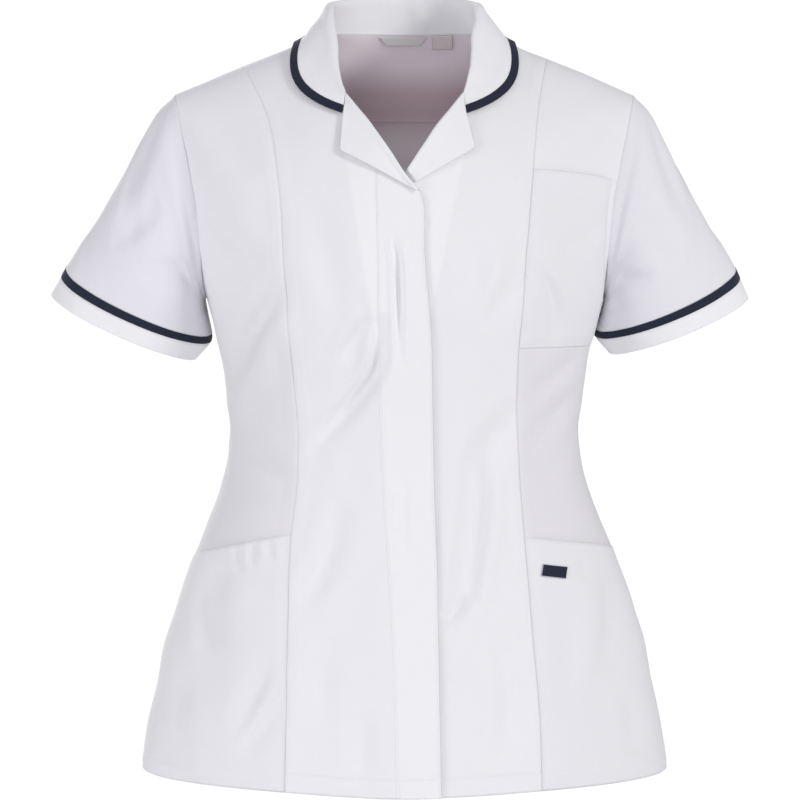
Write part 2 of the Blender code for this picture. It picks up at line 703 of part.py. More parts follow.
def sleeve_part(side, start, end, thickness, lift):
    """Outer and inner points of the part of a sleeve between two shares of its run."""
    def surface(across, run):
        return sleeve_point(side, across, run)

    def half_gap(across, run):
        step = 1e-4
        stretch = surface(across, run + step) - surface(across, run - step)
        return SEAM_GAP * step / np.linalg.norm(stretch, axis=-1)

    def faces(across, along):
        first = start + (half_gap(across, start + 0 * across) if start > 0 else 0.0)
        last = end - (half_gap(across, end + 0 * across) if end < 1 else 0.0)
        run = first + (last - first) * along
        points = surface(across, run)
        centre = (surface(0 * across, run) + surface(0 * across + 0.5, run)) / 2
        mitre = 1 - ease(run / SLEEVE_MITRE_SHARE)
        normals = unit(surface_normals(surface, across, run) + unit(points - centre) * mitre[:, None])
        outer = points + normals * lift
        return outer, outer - normals * thickness

    return faces


def make_sleeves():
    for side, word in SIDES:
        sleeve = sleeve_part(side, 0.0, TRIM_START, CLOTH, 0.0)
        trim = sleeve_part(side, TRIM_START, TRIM_END, FOLDED_CLOTH, TRIM_PROUD)
        cuff = sleeve_part(side, TRIM_END, 1.0, FOLDED_CLOTH, 0.0)
        make_wall(f"sleeve_{word}", SLEEVE_COLUMNS, SLEEVE_ROWS, sleeve, WHITE, ring=True)
        make_wall(f"sleeve_trim_{word}", SLEEVE_COLUMNS, 1, trim, NAVY, ring=True)
        make_wall(f"cuff_{word}", SLEEVE_COLUMNS, 2, cuff, WHITE, ring=True)


# ------------------------------------------------------------- collar and lapels
def run_along(line, start, end, front, by_height):
    """Points of the surface along a seam given by height or by place out."""
    share = np.sin(np.linspace(0.0, math.pi / 2, 80)) if not by_height else np.linspace(0, 1, 80) ** 2
    place = start + (end - start) * share
    out, height = (line(place), place) if by_height else (place, line(place))
    return place_on(out, height, front)[0]


seam_behind = Path(run_along(back_neck, 0.0, NECK_SIDE_OUT, False, by_height=False))
seam_before = Path(run_along(front_neck, FRONT_NECK[0].height, GORGE_HEIGHT, True, by_height=True))
edge_behind = Path(run_along(collar_back, 0.0, COLLAR_EDGE_BACK[-1].out, False, by_height=False))
edge_before = Path(run_along(
    collar_front, COLLAR_EDGE_FRONT[0].height, COLLAR_EDGE_FRONT[-1].height, True, by_height=True))
roll_line = Path(run_along(front_neck, GORGE_HEIGHT, BREAK_HEIGHT, True, by_height=True))


def trim_depth(edge_path, part, seam, edge):
    """How far in from the edge the trim starts on a section, for a trim of even width."""
    run = unit(edge_path.at(min(part + 0.02, 1.0)) - edge_path.at(max(part - 0.02, 0.0)))
    slant = np.linalg.norm(np.cross(run, unit(seam - edge)))
    return COLLAR_TRIM_WIDTH / max(slant, 0.5)


def turned_section(seam, edge, up, rise, lean, lift, trim=COLLAR_TRIM_WIDTH):
    """Visible face of cloth that stands up from a seam, rolls over and falls to an edge."""
    outward = unit((edge - seam) - up * np.dot(edge - seam, up))
    radius = min(ROLL_WIDTH / 2, 0.3 * np.linalg.norm(edge - seam))
    fold = seam + up * rise - outward * lean
    centre = fold - up * radius + outward * radius
    points = [seam, (seam + centre - outward * radius) / 2]
    for turn in np.linspace(0.0, ROLL_TURN, 5):
        points.append(centre - outward * radius * math.cos(turn) + up * radius * math.sin(turn))
    start = points[-1]
    inside = edge + unit(start - edge) * trim
    fall = [start + (inside - start) * share for share in (0.33, 0.67)] + [inside, edge]
    points += list(pushed_clear(np.array(fall), lift))
    return np.array(points)


def collar_section(turn):
    """Section of the collar; turn runs from 0 at the centre back to +-1 at the gorges."""
    side = 1.0 if turn >= 0 else -1.0
    share = abs(turn)
    behind = share < BACK_SHARE
    if behind:
        part = share / BACK_SHARE
        seam, edge = seam_behind.at(part), edge_behind.at(part)
        trim = trim_depth(edge_behind, part, seam, edge)
    else:
        part = (share - BACK_SHARE) / (1 - BACK_SHARE)
        seam, edge = seam_before.at(part), edge_before.at(part)
        trim = trim_depth(edge_before, part, seam, edge)
    away = body_gap(seam[None, :])[1][0]
    up = unit(np.array([0.0, 0.0, 1.0]) * (1 - ease(2 * share - 1)) + away * ease(2 * share - 1))
    section = turned_section(
        seam + away * LAYER_GAP, edge, up, float(stand_rise(share)), float(stand_lean(share)), EDGE_LIFT, trim)
    return section * (side, 1, 1)


def turned_surface(section_at):
    """Surface through sections: across picks the section, along runs from seam to edge."""
    known = {}

    def surface(across, along):
        points = np.zeros((len(across), 3))
        for place in np.unique(across):
            if place not in known:
                known[place] = section_at(place)
            chosen = across == place
            steps = along[chosen] * (len(known[place]) - 1)
            points[chosen] = smooth_through(known[place], steps)
        return points

    return surface


def make_collar():
    surface = turned_surface(lambda across: collar_section((1 - 2 * across) * (1 - GORGE_GAP)))
    last = (SECTION_STEPS - 1) / SECTION_STEPS
    gap = SEAM_GAP / COLLAR_TRIM_WIDTH / SECTION_STEPS

    def leaf(across, along):
        return wall_of(surface, CLOTH)(across, along * (last - gap))

    def trim(across, along):
        raised = wall_of(surface, FOLDED_CLOTH, lambda points: np.full(len(points), TRIM_PROUD))
        return raised(across, last + gap + along * (1 - last - gap))

    make_wall("collar", COLLAR_COLUMNS, SECTION_STEPS - 1, leaf, WHITE)
    make_wall("collar_trim", COLLAR_COLUMNS, 1, trim, NAVY)


def lapel_section(side, share):
    """Section of a lapel at a share of the roll line, from the gorge to the break."""
    lapel = LAPELS[side]
    notch, tip, end = np.array([lapel.notch, lapel.tip, lapel.end])
    upper = min(share / LAPEL_TIP_SHARE, 1.0)
    lower = max((share - LAPEL_TIP_SHARE) / (1 - LAPEL_TIP_SHARE), 0.0)
    out, height = notch + (tip - notch) * upper + (end - tip) * lower
    edge = place_on(np.array(side * out), np.array(height), np.array(True))[0]
    seam = roll_line.at(share) * (side, 1, 1)
    away = body_gap(seam[None, :])[1][0]
    base = float(max(overlap_lift(seam), overlap_lift(edge))) if side == RIGHT else 0.0
    return turned_section(seam + away * (base + LAYER_GAP), edge, away, ROLL_HEIGHT, 0.0, base + EDGE_LIFT)


def make_lapels():
    for side, word in SIDES:
        reach = LAPELS[side].reach - LAPEL_TOP_GAP

        def section_at(across):
            part = across if side == RIGHT else 1 - across
            return lapel_section(side, LAPEL_TOP_GAP + reach * part)

        lapel = wall_of(turned_surface(section_at), CLOTH)
        make_wall(f"lapel_{word}", LAPEL_COLUMNS, SECTION_STEPS, lapel, WHITE)


# ------------------------------------------------------- pockets, label and tapes
def make_pocket(name, panel, top, bottom=None, far=PATCH_MARGIN):
    """A pocket from a panel's own points, moved out; top and bottom are heights at its edges.

    far is the share of the panel's width left free beside its second seam.
    """
    def limits(across):
        first = panel.along_at(across, top[0] + (top[1] - top[0]) * across)
        if bottom is None:
            return first, 1 - PATCH_HEM_MARGIN + 0 * across
        return first, panel.along_at(across, bottom[0] + (bottom[1] - bottom[0]) * across)

    first, last = limits(np.linspace(PATCH_MARGIN, 1 - far, SIDE_COLUMNS + 1))
    start = math.floor(first.max() * SIDE_ROWS)
    rows = math.ceil(last.min() * SIDE_ROWS) - start

    def faces(across, along):
        across = np.clip(across, PATCH_MARGIN, 1 - far)
        first, last = limits(across)
        step = np.round(along * rows)
        level = np.where(step == 0, first, np.where(step == rows, last, (start + step) / SIDE_ROWS))
        points = panel.point(across, level)
        normals = surface_normals(panel.point, across, level)
        return points + normals * (LAYER_GAP + CLOTH), points + normals * LAYER_GAP

    make_wall(name, SIDE_COLUMNS, rows, faces, WHITE)


def make_pockets(side_fronts):
    chest = (CHEST_POCKET_TOP, CHEST_POCKET_BOTTOM, ARMHOLE_MARGIN)
    make_pocket("chest_pocket_left", side_fronts[LEFT], *chest)
    make_pocket("pocket_left", side_fronts[LEFT], LEFT_POCKET_TOP)
    make_pocket("pocket_right", side_fronts[RIGHT], RIGHT_POCKET_TOP[::-1])


def make_pocket_label():
    def surface(across, along):
        right = (across - 0.5) * POCKET_LABEL_SIZE[0]
        up = (0.5 - along) * POCKET_LABEL_SIZE[1]
        turn = POCKET_LABEL_TILT
        out = POCKET_LABEL_CENTRE[0] + right * math.cos(turn) - up * math.sin(turn)
        height = POCKET_LABEL_CENTRE[1] + right * math.sin(turn) + up * math.cos(turn)
        return body_point(front_angle(out, height), height)

    lift = 2 * LAYER_GAP + CLOTH + TAPE
    label = wall_of(surface, TAPE, lambda points: np.full(len(points), lift))
    make_wall("pocket_label", 3, 1, label, NAVY)


def make_neck_labels():
    """The hanger tape and the small size tab inside the back neck."""
    for name, columns, top, bottom in (
        ("neck_tape", 4, NECK_TAPE_TOP, NECK_TAPE_BOTTOM),
        ("size_tab", 2, SIZE_TAB_TOP, SIZE_TAB_BOTTOM),
    ):
        def surface(across, along):
            left, right, height = (start + (end - start) * along for start, end in zip(top, bottom))
            return place_on(left + (right - left) * across, height, np.array(False))[0]

        inside = -(CLOTH + LAYER_GAP)
        label = wall_of(surface, TAPE, lambda points: np.full(len(points), inside))
        make_wall(name, columns, 1, label, GREY_TAPE)


# ------------------------------------------------------------------ the whole piece
for leftover in list(bpy.data.objects):
    bpy.data.objects.remove(leftover)
bpy.context.scene.collection.children.link(bpy.data.collections.new(COLLECTION))

make_fronts()
side_front_panels = make_side_fronts()
make_back()
make_sleeves()
make_collar()
make_lapels()
make_pockets(side_front_panels)
make_pocket_label()
make_neck_labels()
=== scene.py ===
"""Short-sleeved medical tunic, white with navy trim: the cloth as it hangs on the frame.

Every piece of cloth lies on the form of its solid, cut finely enough for its creases.
Metres, +Z up. The front faces -Y. Right and left are as worn, and left is +X.
"""
import math
from collections import namedtuple

import bmesh
import bpy
import numpy as np
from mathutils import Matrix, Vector


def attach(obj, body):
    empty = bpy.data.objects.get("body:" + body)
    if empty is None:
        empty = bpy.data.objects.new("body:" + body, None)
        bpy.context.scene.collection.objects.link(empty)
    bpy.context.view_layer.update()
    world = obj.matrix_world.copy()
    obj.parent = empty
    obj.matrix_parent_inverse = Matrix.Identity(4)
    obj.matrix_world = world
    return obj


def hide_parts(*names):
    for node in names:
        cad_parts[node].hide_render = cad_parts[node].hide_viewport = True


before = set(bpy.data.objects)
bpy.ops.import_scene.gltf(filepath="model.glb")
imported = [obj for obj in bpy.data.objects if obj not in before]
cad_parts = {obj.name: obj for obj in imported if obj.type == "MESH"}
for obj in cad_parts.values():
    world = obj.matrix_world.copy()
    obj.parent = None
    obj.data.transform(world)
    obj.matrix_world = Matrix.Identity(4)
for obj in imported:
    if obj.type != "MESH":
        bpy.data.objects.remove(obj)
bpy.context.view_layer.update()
bpy.context.scene.view_settings.view_transform = "Standard"

# ---------------------------------------------------------------- driving sizes
LAYER_GAP = 0.0009        # between a panel and what lies on it
ARMHOLE_GAP = 0.0001      # between the body's armhole edge and the sleeve head

HEM_HEIGHT = -0.6705
HEM_FRONT_DROP = 0.0105   # the hem dips a little at the centre front
UNDERARM_HEIGHT = -0.2350
SHOULDER_TIP_HEIGHT = -0.0480
SECTION_POWER = 2.5       # squareness of the body's cross-section
FRONT_ROLL = 0.035        # radius over which the cloth turns forward off the shoulder line
BACK_ROLL = 0.044
ROLL_SPREAD = 0.15        # how soon that turn opens out into the chest
BUST_FULLNESS = 0.008
BUST_OUT = 0.085
BUST_HEIGHT = -0.215
BUST_SPREAD = 0.058

PLACKET_GAP = -0.0005     # the placket lies this far over the panel it turns from
PLACKET_LIFT = 0.0030     # the right front lies this far over the left
LIFT_START = 0.0840       # where the right front starts to rise, before the placket's edge
LIFT_RUN = 0.0420
LIFT_TOP = -0.0850        # the lift fades out between these two heights
LIFT_FULL = -0.1120
UNDERLAP = 0.0350         # how far the left front reaches behind the placket's edge

NECK_SIDE_OUT = 0.0740
GORGE_HEIGHT = -0.0500    # where collar and lapel meet on the roll line
BREAK_HEIGHT = -0.1375    # where the lapel starts to turn back
COLLAR_TRIM_WIDTH = 0.0078
ROLL_HEIGHT = 0.0050      # how high a turned edge stands over the panel below
ROLL_WIDTH = 0.0048
ROLL_TURN = math.radians(118)  # how far the cloth turns over before it lies flat
EDGE_LIFT = 0.0038        # the turned cloth's outer edge over the panel below
BACK_SHARE = 0.42         # share of the collar's run that lies behind the shoulder line
TRIM_PROUD = 0.0004       # how far the navy trims stand out of the cloth beside them
GORGE_GAP = 0.0005        # share of the collar's run left free at each end
SEAM_TUCK = 0.0032        # how far turned cloth reaches in behind its seam
LAPEL_TOP_GAP = 0.0010    # share of the roll line left free at the lapel's top
LAPEL_TIP_SHARE = 0.36    # share of the roll line at which the lapel's tip lies
SLEEVE_HEAD_SHARE = 0.35  # share of the sleeve over which the head's shape fades
SLEEVE_SWING = 0.8        # how far in a lower cuff swings, as a share of how much lower it hangs

CHEST_POCKET_TOP = (-0.1165, -0.1262)      # height at the princess seam and at the armhole
CHEST_POCKET_BOTTOM = (-0.2780, -0.2780)
RIGHT_POCKET_TOP = (-0.4450, -0.4780)      # height at the princess seam and at the side seam
LEFT_POCKET_TOP = (-0.4480, -0.4680)
POCKET_LABEL_SIZE = (0.0226, 0.0108)
POCKET_LABEL_CENTRE = (0.1345, -0.4800)
POCKET_LABEL_TILT = math.radians(-9.0)
PATCH_MARGIN = 0.002      # share of a panel's width left free beside a pocket
ARMHOLE_MARGIN = 0.09     # the same, towards the sleeve
PATCH_HEM_SHARE = 0.25    # what is left free below a pocket, as a share of that beside it
NECK_TAPE_TOP = (0.0220, -0.0240, 0.0102)      # left end, right end and height
NECK_TAPE_BOTTOM = (0.0155, -0.0175, 0.0026)
SIZE_TAB_TOP = (0.0465, 0.0270, 0.0112)
SIZE_TAB_BOTTOM = (0.0465, 0.0270, -0.0012)

PLAIN_ROWS = 1e-6         # rows of even height
CROWDED_ROWS = 0.12       # rows that crowd towards a top on the shoulder line
MEETING_ROUNDS = 14       # rounds in which a column finds the height of its end
FIRST_TOP = -0.02         # the height that the first of them starts from
CLEARING_ROUNDS = 6       # rounds in which turned cloth is moved clear of the cloth below
SEAM_STEPS = 80           # points along a seam that turned cloth follows
SHORT_SEAM_STEPS = 60     # the same along the roll line over the placket
LEAST_LENGTH = 1e-12      # keep a division clear of zero
LEAST_DEPTH = 1e-6
PROBE = 1e-5              # step over which a slope of the body surface is read
SHARE_PROBE = 2e-4        # the same for the surface of a piece, as a share of it
SEAM_SIDE = 1e-7          # angle that keeps a side seam on its own side, front or back

RIGHT = -1
LEFT = 1
SIDES = ((RIGHT, "right"), (LEFT, "left"))
SLEEVE_REACH = {RIGHT: 0.003, LEFT: -0.003}  # one sleeve hangs a little longer than the other
SLEEVE_HANG = {RIGHT: 0.0, LEFT: 0.0080}     # how much lower the outer side of a cuff hangs

# ------------------------------------------------------------ tables of sections
def table(columns, *rows):
    """Rows of numbers that are read by the names of their columns."""
    row_of = namedtuple("Row", columns)
    return [row_of(*row) for row in rows]


BODY_SECTIONS = table(
    "height half_width front_depth back_depth",
    (0.0400, 0.2240, 0.0700, 0.0820),
    (-0.0480, 0.2185, 0.0960, 0.1000),
    (-0.0900, 0.2130, 0.1060, 0.1100),
    (-0.1200, 0.2080, 0.1120, 0.1150),
    (-0.1600, 0.2005, 0.1180, 0.1180),
    (-0.2000, 0.1920, 0.1215, 0.1170),
    (-0.2350, 0.1830, 0.1210, 0.1130),
    (-0.2650, 0.1755, 0.1180, 0.1080),
    (-0.2950, 0.1695, 0.1135, 0.1030),
    (-0.3250, 0.1655, 0.1090, 0.0980),
    (-0.3530, 0.1620, 0.1060, 0.0950),
    (-0.3820, 0.1642, 0.1050, 0.0970),
    (-0.4120, 0.1720, 0.1070, 0.1030),
    (-0.4420, 0.1832, 0.1100, 0.1090),
    (-0.4715, 0.1948, 0.1130, 0.1150),
    (-0.5010, 0.2055, 0.1160, 0.1200),
    (-0.5310, 0.2145, 0.1190, 0.1240),
    (-0.5610, 0.2240, 0.1220, 0.1270),
    (-0.5906, 0.2298, 0.1240, 0.1290),
    (-0.6280, 0.2380, 0.1270, 0.1310),
    (-0.6650, 0.2432, 0.1290, 0.1330),
    (-0.6850, 0.2450, 0.1300, 0.1340),
)

SHOULDER_LINE = table(
    "out front_height back_height",
    (0.0000, 0.0300, 0.0588),
    (0.0300, 0.0260, 0.0512),
    (0.0500, 0.0185, 0.0342),
    (0.0630, 0.0145, 0.0206),
    (0.0740, 0.0104, 0.0104),
    (0.1070, -0.0046, -0.0046),
    (0.1370, -0.0162, -0.0162),
    (0.1810, -0.0343, -0.0343),
    (0.2105, -0.0480, -0.0480),
    (0.2400, -0.0660, -0.0660),
)

ARMHOLE = table(
    "height front_out back_out",
    (-0.0480, 0.2105, 0.2105),
    (-0.0800, 0.2035, 0.2025),
    (-0.1070, 0.1975, 0.1960),
    (-0.1440, 0.1905, 0.1895),
    (-0.1800, 0.1865, 0.1860),
    (-0.2100, 0.1853, 0.1850),
    (-0.2250, 0.1842, 0.1842),
    (-0.2350, 0.1830, 0.1830),
)

PRINCESS_SEAMS = table(
    "height princess_right princess_left",
    (0.0000, 0.1590, 0.1345),
    (-0.0180, 0.1500, 0.1300),
    (-0.0620, 0.1269, 0.1213),
    (-0.1270, 0.1136, 0.1150),
    (-0.2075, 0.1076, 0.1085),
    (-0.2900, 0.1010, 0.1022),
    (-0.3650, 0.0962, 0.1026),
    (-0.4000, 0.0974, 0.1045),
    (-0.4500, 0.1027, 0.1086),
    (-0.5300, 0.1050, 0.1150),
    (-0.6100, 0.1063, 0.1214),
    (-0.6850, 0.1080, 0.1240),
)

PLACKET_EDGE = table(
    "height out",
    (-0.0600, 0.0140),
    (-0.1375, 0.0140),
    (-0.1450, 0.0160),
    (-0.1900, 0.0178),
    (-0.2340, 0.0214),
    (-0.2620, 0.0236),
    (-0.3240, 0.0250),
    (-0.4130, 0.0268),
    (-0.4665, 0.0286),
    (-0.5900, 0.0312),
    (-0.6850, 0.0330),
)
# the stitched line where the right front turns into the placket
PLACKET_LINE = table(
    "height out",
    (-0.0600, -0.0250),
    (-0.1375, -0.0250),
    (-0.1650, -0.0246),
    (-0.2400, -0.0236),
    (-0.3100, -0.0223),
    (-0.3600, -0.0211),
    (-0.4150, -0.0184),
    (-0.4700, -0.0147),
    (-0.5415, -0.0106),
    (-0.6200, -0.0080),
    (-0.6850, -0.0062),
)
# the neck edge of a front: neckline under the collar, then the lapel's roll line
FRONT_NECK = table(
    "height out",
    (0.0104, 0.0740),
    (-0.0040, 0.0730),
    (-0.0146, 0.0705),
    (-0.0270, 0.0660),
    (-0.0380, 0.0605),
    (-0.0470, 0.0545),
    (-0.0560, 0.0470),
    (-0.0645, 0.0400),
    (-0.0720, 0.0338),
    (-0.0965, 0.0165),
    (-0.1205, 0.0005),
    (-0.1375, -0.0130),
)
BACK_NECK = table(
    "height out",
    (0.0123, 0.0000),
    (0.0123, 0.0300),
    (0.0118, 0.0500),
    (0.0110, 0.0630),
    (0.0104, 0.0740),
)
# the collar's outer edge, before and behind the shoulder line
COLLAR_EDGE_FRONT = table(
    "height out",
    (0.0007, 0.0985),
    (-0.0058, 0.1010),
    (-0.0156, 0.1030),
    (-0.0258, 0.1030),
    (-0.0364, 0.1005),
    (-0.0466, 0.0940),
    (-0.0520, 0.0882),
    (-0.0570, 0.0812),
    (-0.0615, 0.0728),
    (-0.0658, 0.0626),
    (-0.0682, 0.0555),
)
COLLAR_EDGE_BACK = table(
    "height out",
    (-0.0060, 0.0000),
    (-0.0065, 0.0400),
    (-0.0060, 0.0700),
    (-0.0030, 0.0880),
    (0.0007, 0.0985),
)

# rise: how high the fold stands over the seam; lean: how far it tips towards the neck
COLLAR_STAND = table(
    "turn rise lean",
    (0.00, 0.0345, -0.0050),
    (0.25, 0.0310, 0.0030),
    (0.42, 0.0260, 0.0085),
    (0.57, 0.0225, 0.0100),
    (0.71, 0.0160, 0.0125),
    (0.86, 0.0085, 0.0085),
    (1.00, 0.0055, 0.0010),
)

YOKE_SEAM = table(
    "out height",
    (0.0000, -0.0700),
    (0.1000, -0.0740),
    (0.2100, -0.0860),
)

# rings of the sleeve in the front view: the outer and the inner end of each
SLEEVE_RINGS = table(
    "run outer_out outer_height inner_out inner_height half_depth drop",
    (0.00, 0.2105, -0.0480, 0.1835, -0.2352, 0.0500, 0.0000),
    (0.10, 0.2245, -0.0610, 0.1845, -0.2372, 0.0530, 0.0005),
    (0.22, 0.2390, -0.0860, 0.1838, -0.2410, 0.0560, 0.0015),
    (0.42, 0.2610, -0.1240, 0.1818, -0.2485, 0.0575, 0.0035),
    (0.62, 0.2835, -0.1620, 0.1798, -0.2572, 0.0560, 0.0060),
    (0.78, 0.3015, -0.1865, 0.1785, -0.2630, 0.0530, 0.0100),
    (0.88, 0.3130, -0.2040, 0.1780, -0.2665, 0.0500, 0.0122),
    (0.92, 0.3168, -0.2108, 0.1782, -0.2725, 0.0490, 0.0122),
    (1.00, 0.3262, -0.2280, 0.1915, -0.2886, 0.0460, 0.0085),
)
TRIM_START = 0.877
TRIM_END = 0.92

# outer edge of a turned lapel, each place (out, height) on its own side
Lapel = namedtuple("Lapel", "notch tip end reach")
LAPELS = {
    RIGHT: Lapel((0.0545, -0.0684), (0.0574, -0.1012), (-0.0139, -0.1392), 0.985),
    LEFT: Lapel((0.0550, -0.0684), (0.0628, -0.0992), (-0.0165, -0.1450), 0.790),
}

# soft folds of the front, top to bottom; a trough has a height below zero
Fold = namedtuple("Fold", "top bottom top_out middle_out bottom_out breadth height")
LARGE_FOLDS = (
    Fold(-0.2350, -0.3450, -0.1040, -0.1270, -0.1540, 0.0140, 0.0030),
    Fold(-0.2100, -0.3100, -0.1150, -0.1330, -0.1580, 0.0150, -0.0035),
    Fold(-0.2450, -0.3650, -0.0240, -0.0440, -0.0930, 0.0150, -0.0040),
    Fold(-0.2900, -0.5450, 0.0880, 0.0660, 0.0320, 0.0190, -0.0035),
    Fold(-0.4700, -0.6100, -0.1760, -0.1760, -0.1860, 0.0200, -0.0040),
    Fold(-0.5200, -0.6700, 0.1900, 0.1850, 0.1960, 0.0220, -0.0035),
)

# ---------------------------------------------------------------- reading tables
class Line:
    """A smooth line through one column of a table, read at any place along another."""

    def __init__(self, rows_of, along, column, mirrored=False):
        rows = {(getattr(row, along), getattr(row, column)) for row in rows_of}
        if mirrored:
            rows |= {(-place, value) for place, value in rows}
        self.places, self.values = np.array(sorted(rows)).T
        self.slopes = np.gradient(self.values, self.places)

    def __call__(self, place):
        place = np.clip(place, self.places[0], self.places[-1])
        cell = np.clip(np.searchsorted(self.places, place) - 1, 0, len(self.places) - 2)
        width = self.places[cell + 1] - self.places[cell]
        part = (place - self.places[cell]) / width
        return hermite(part, self.values[cell], self.values[cell + 1],
                       self.slopes[cell] * width, self.slopes[cell + 1] * width)


def hermite(part, start, end, leave, arrive):
    """Cubic from start to end with the given slopes, for a part from 0 to 1."""
    return (start * (1 + 2 * part) * (1 - part) ** 2 + end * (3 - 2 * part) * part ** 2
            + leave * part * (1 - part) ** 2 + arrive * part ** 2 * (part - 1))


def smooth_through(points, place):
    """Point at a place, counted in steps from point to point, on a smooth curve."""
    reach = np.concatenate(([0.0], np.cumsum(np.linalg.norm(np.diff(points, axis=0), axis=1))))
    slopes = np.gradient(points, reach, axis=0)
    cell = np.clip(np.floor(place).astype(int), 0, len(points) - 2)
    part = (place - cell)[:, None]
    width = (reach[cell + 1] - reach[cell])[:, None]
    return hermite(part, points[cell], points[cell + 1], slopes[cell] * width, slopes[cell + 1] * width)


class Path:
    """A run of points in space, read at a share of its length from 0 to 1."""

    def __init__(self, points):
        self.points = np.asarray(points)
        steps = np.linalg.norm(np.diff(self.points, axis=0), axis=1)
        self.reach = np.concatenate(([0.0], np.cumsum(steps)))

    def at(self, share):
        place = np.clip(share, 0.0, 1.0) * self.reach[-1]
        return np.array([np.interp(place, self.reach, column) for column in self.points.T])


half_width = Line(BODY_SECTIONS, "height", "half_width")
front_depth = Line(BODY_SECTIONS, "height", "front_depth")
back_depth = Line(BODY_SECTIONS, "height", "back_depth")
front_shoulder = Line(SHOULDER_LINE, "out", "front_height", mirrored=True)
back_shoulder = Line(SHOULDER_LINE, "out", "back_height", mirrored=True)
front_armhole = Line(ARMHOLE, "height", "front_out")
back_armhole = Line(ARMHOLE, "height", "back_out")
placket_edge = Line(PLACKET_EDGE, "height", "out")
placket_line = Line(PLACKET_LINE, "height", "out")
front_neck = Line(FRONT_NECK, "height", "out")
back_neck = Line(BACK_NECK, "out", "height", mirrored=True)
collar_front = Line(COLLAR_EDGE_FRONT, "height", "out")
collar_back = Line(COLLAR_EDGE_BACK, "out", "height", mirrored=True)
yoke_seam = Line(YOKE_SEAM, "out", "height", mirrored=True)
stand_rise = Line(COLLAR_STAND, "turn", "rise")
stand_lean = Line(COLLAR_STAND, "turn", "lean")
princess = {
    RIGHT: Line(PRINCESS_SEAMS, "height", "princess_right"),
    LEFT: Line(PRINCESS_SEAMS, "height", "princess_left"),
}
ring_line = {column: Line(SLEEVE_RINGS, "run", column) for column in SLEEVE_RINGS[0]._fields[1:]}


# -------------------------------------------------------------- the body surface
def ease(part):
    """0 to 1 with level ends."""
    part = np.clip(part, 0.0, 1.0)
    return part * part * (3 - 2 * part)


def unit(vectors):
    return vectors / np.maximum(np.linalg.norm(vectors, axis=-1, keepdims=True), LEAST_LENGTH)


def soft_min(first, second):
    """The smaller of two lengths, eased where they are alike."""
    return first * second / np.maximum((first ** 4 + second ** 4) ** 0.25, LEAST_LENGTH)


def plain_depth(out, height, front):
    """Depth of the cross-section itself, before the shoulders round it off."""
    share = np.clip(np.abs(out) / half_width(height), 0.0, 1.0)
    full = np.where(front, front_depth(height), back_depth(height))
    return full * (1 - share ** SECTION_POWER) ** (1 / SECTION_POWER)


def shoulder_drop(out, height, front):
    """How far a place lies below the shoulder line."""
    return np.where(front, front_shoulder(out), back_shoulder(out)) - height


def surface_depth(out, height, front):
    """How far the cloth lies before (or behind) the shoulder plane."""
    away = ((np.abs(out) - BUST_OUT) ** 2 + (height - BUST_HEIGHT) ** 2) / BUST_SPREAD ** 2
    share = np.clip(np.abs(out) / half_width(height), 0.0, 1.0)
    fullness = BUST_FULLNESS * np.exp(-away) * (1 - share ** SECTION_POWER)
    section = plain_depth(out, height, front) + np.where(front, fullness, 0.0)
    drop = np.maximum(shoulder_drop(out, height, front), 0.0)
    roll = np.where(front, FRONT_ROLL, BACK_ROLL)
    return soft_min(section, np.sqrt(2 * roll * drop) * (1 + (drop / ROLL_SPREAD) ** 2))


def fold_rise(out, height, folds):
    """Rise (or fall) of the front's cloth from its soft folds."""
    total = 0.0 * out * height
    for fold in folds:
        share = np.clip((fold.top - height) / (fold.top - fold.bottom), 0.0, 1.0)
        middle = (fold.top_out * (1 - share) * (1 - 2 * share)
                  + fold.middle_out * 4 * share * (1 - share)
                  + fold.bottom_out * share * (2 * share - 1))
        lean = (fold.bottom_out - fold.top_out) / (fold.top - fold.bottom)
        away = (out - middle) / math.hypot(1.0, lean)
        total = total + fold.height * np.sin(math.pi * share) * np.exp(-((away / fold.breadth) ** 2))
    return total


def body_point(angle, height):
    """Point of the body surface; angle 0 is the centre front, +90 degrees the left side."""
    front = np.cos(angle) > 0
    full = np.where(front, front_depth(height), back_depth(height))
    across = (np.abs(np.sin(angle)) / half_width(height)) ** SECTION_POWER
    deep = (np.abs(np.cos(angle)) / full) ** SECTION_POWER
    out = np.sin(angle) / (across + deep) ** (1 / SECTION_POWER)
    depth = surface_depth(out, height, front)
    point = np.stack([out, np.where(front, -depth, depth), height + 0 * out], axis=-1)
    rise = np.where(front, fold_rise(out, height, LARGE_FOLDS), 0.0)
    return point + unit(point * (1.0, 1.0, 0.0)) * rise[..., None]


def front_angle(out, height):
    """Angle at which the front of the surface lies this far out."""
    return np.arctan2(out, np.maximum(plain_depth(out, height, True), LEAST_DEPTH))


def back_angle(out, height):
    return math.pi - np.arctan2(out, np.maximum(plain_depth(out, height, False), LEAST_DEPTH))


def body_gap(points):
    """Distance of points outside the body surface, and the direction away from it."""
    def outside(spots):
        out, deep, height = spots.T
        drop = shoulder_drop(out, height, deep < 0)
        roll = np.where(deep < 0, FRONT_ROLL, BACK_ROLL)
        inner = surface_depth(out, height, deep < 0) ** 2
        return deep ** 2 - np.where(drop > 0, inner, 2 * roll * drop)

    slopes = [(outside(points + PROBE * axis) - outside(points - PROBE * axis)) / (2 * PROBE)
              for axis in np.eye(3)]
    gradient = np.stack(slopes, axis=-1)
    return outside(points) / np.linalg.norm(gradient, axis=-1), unit(gradient)


def pushed_clear(points, lift):
    """Points moved out until they lie at least a lift away from the body surface."""
    for _ in range(CLEARING_ROUNDS):
        gap, away = body_gap(points)
        points = points + away * np.maximum(lift - gap, 0.0)[:, None]
    return points


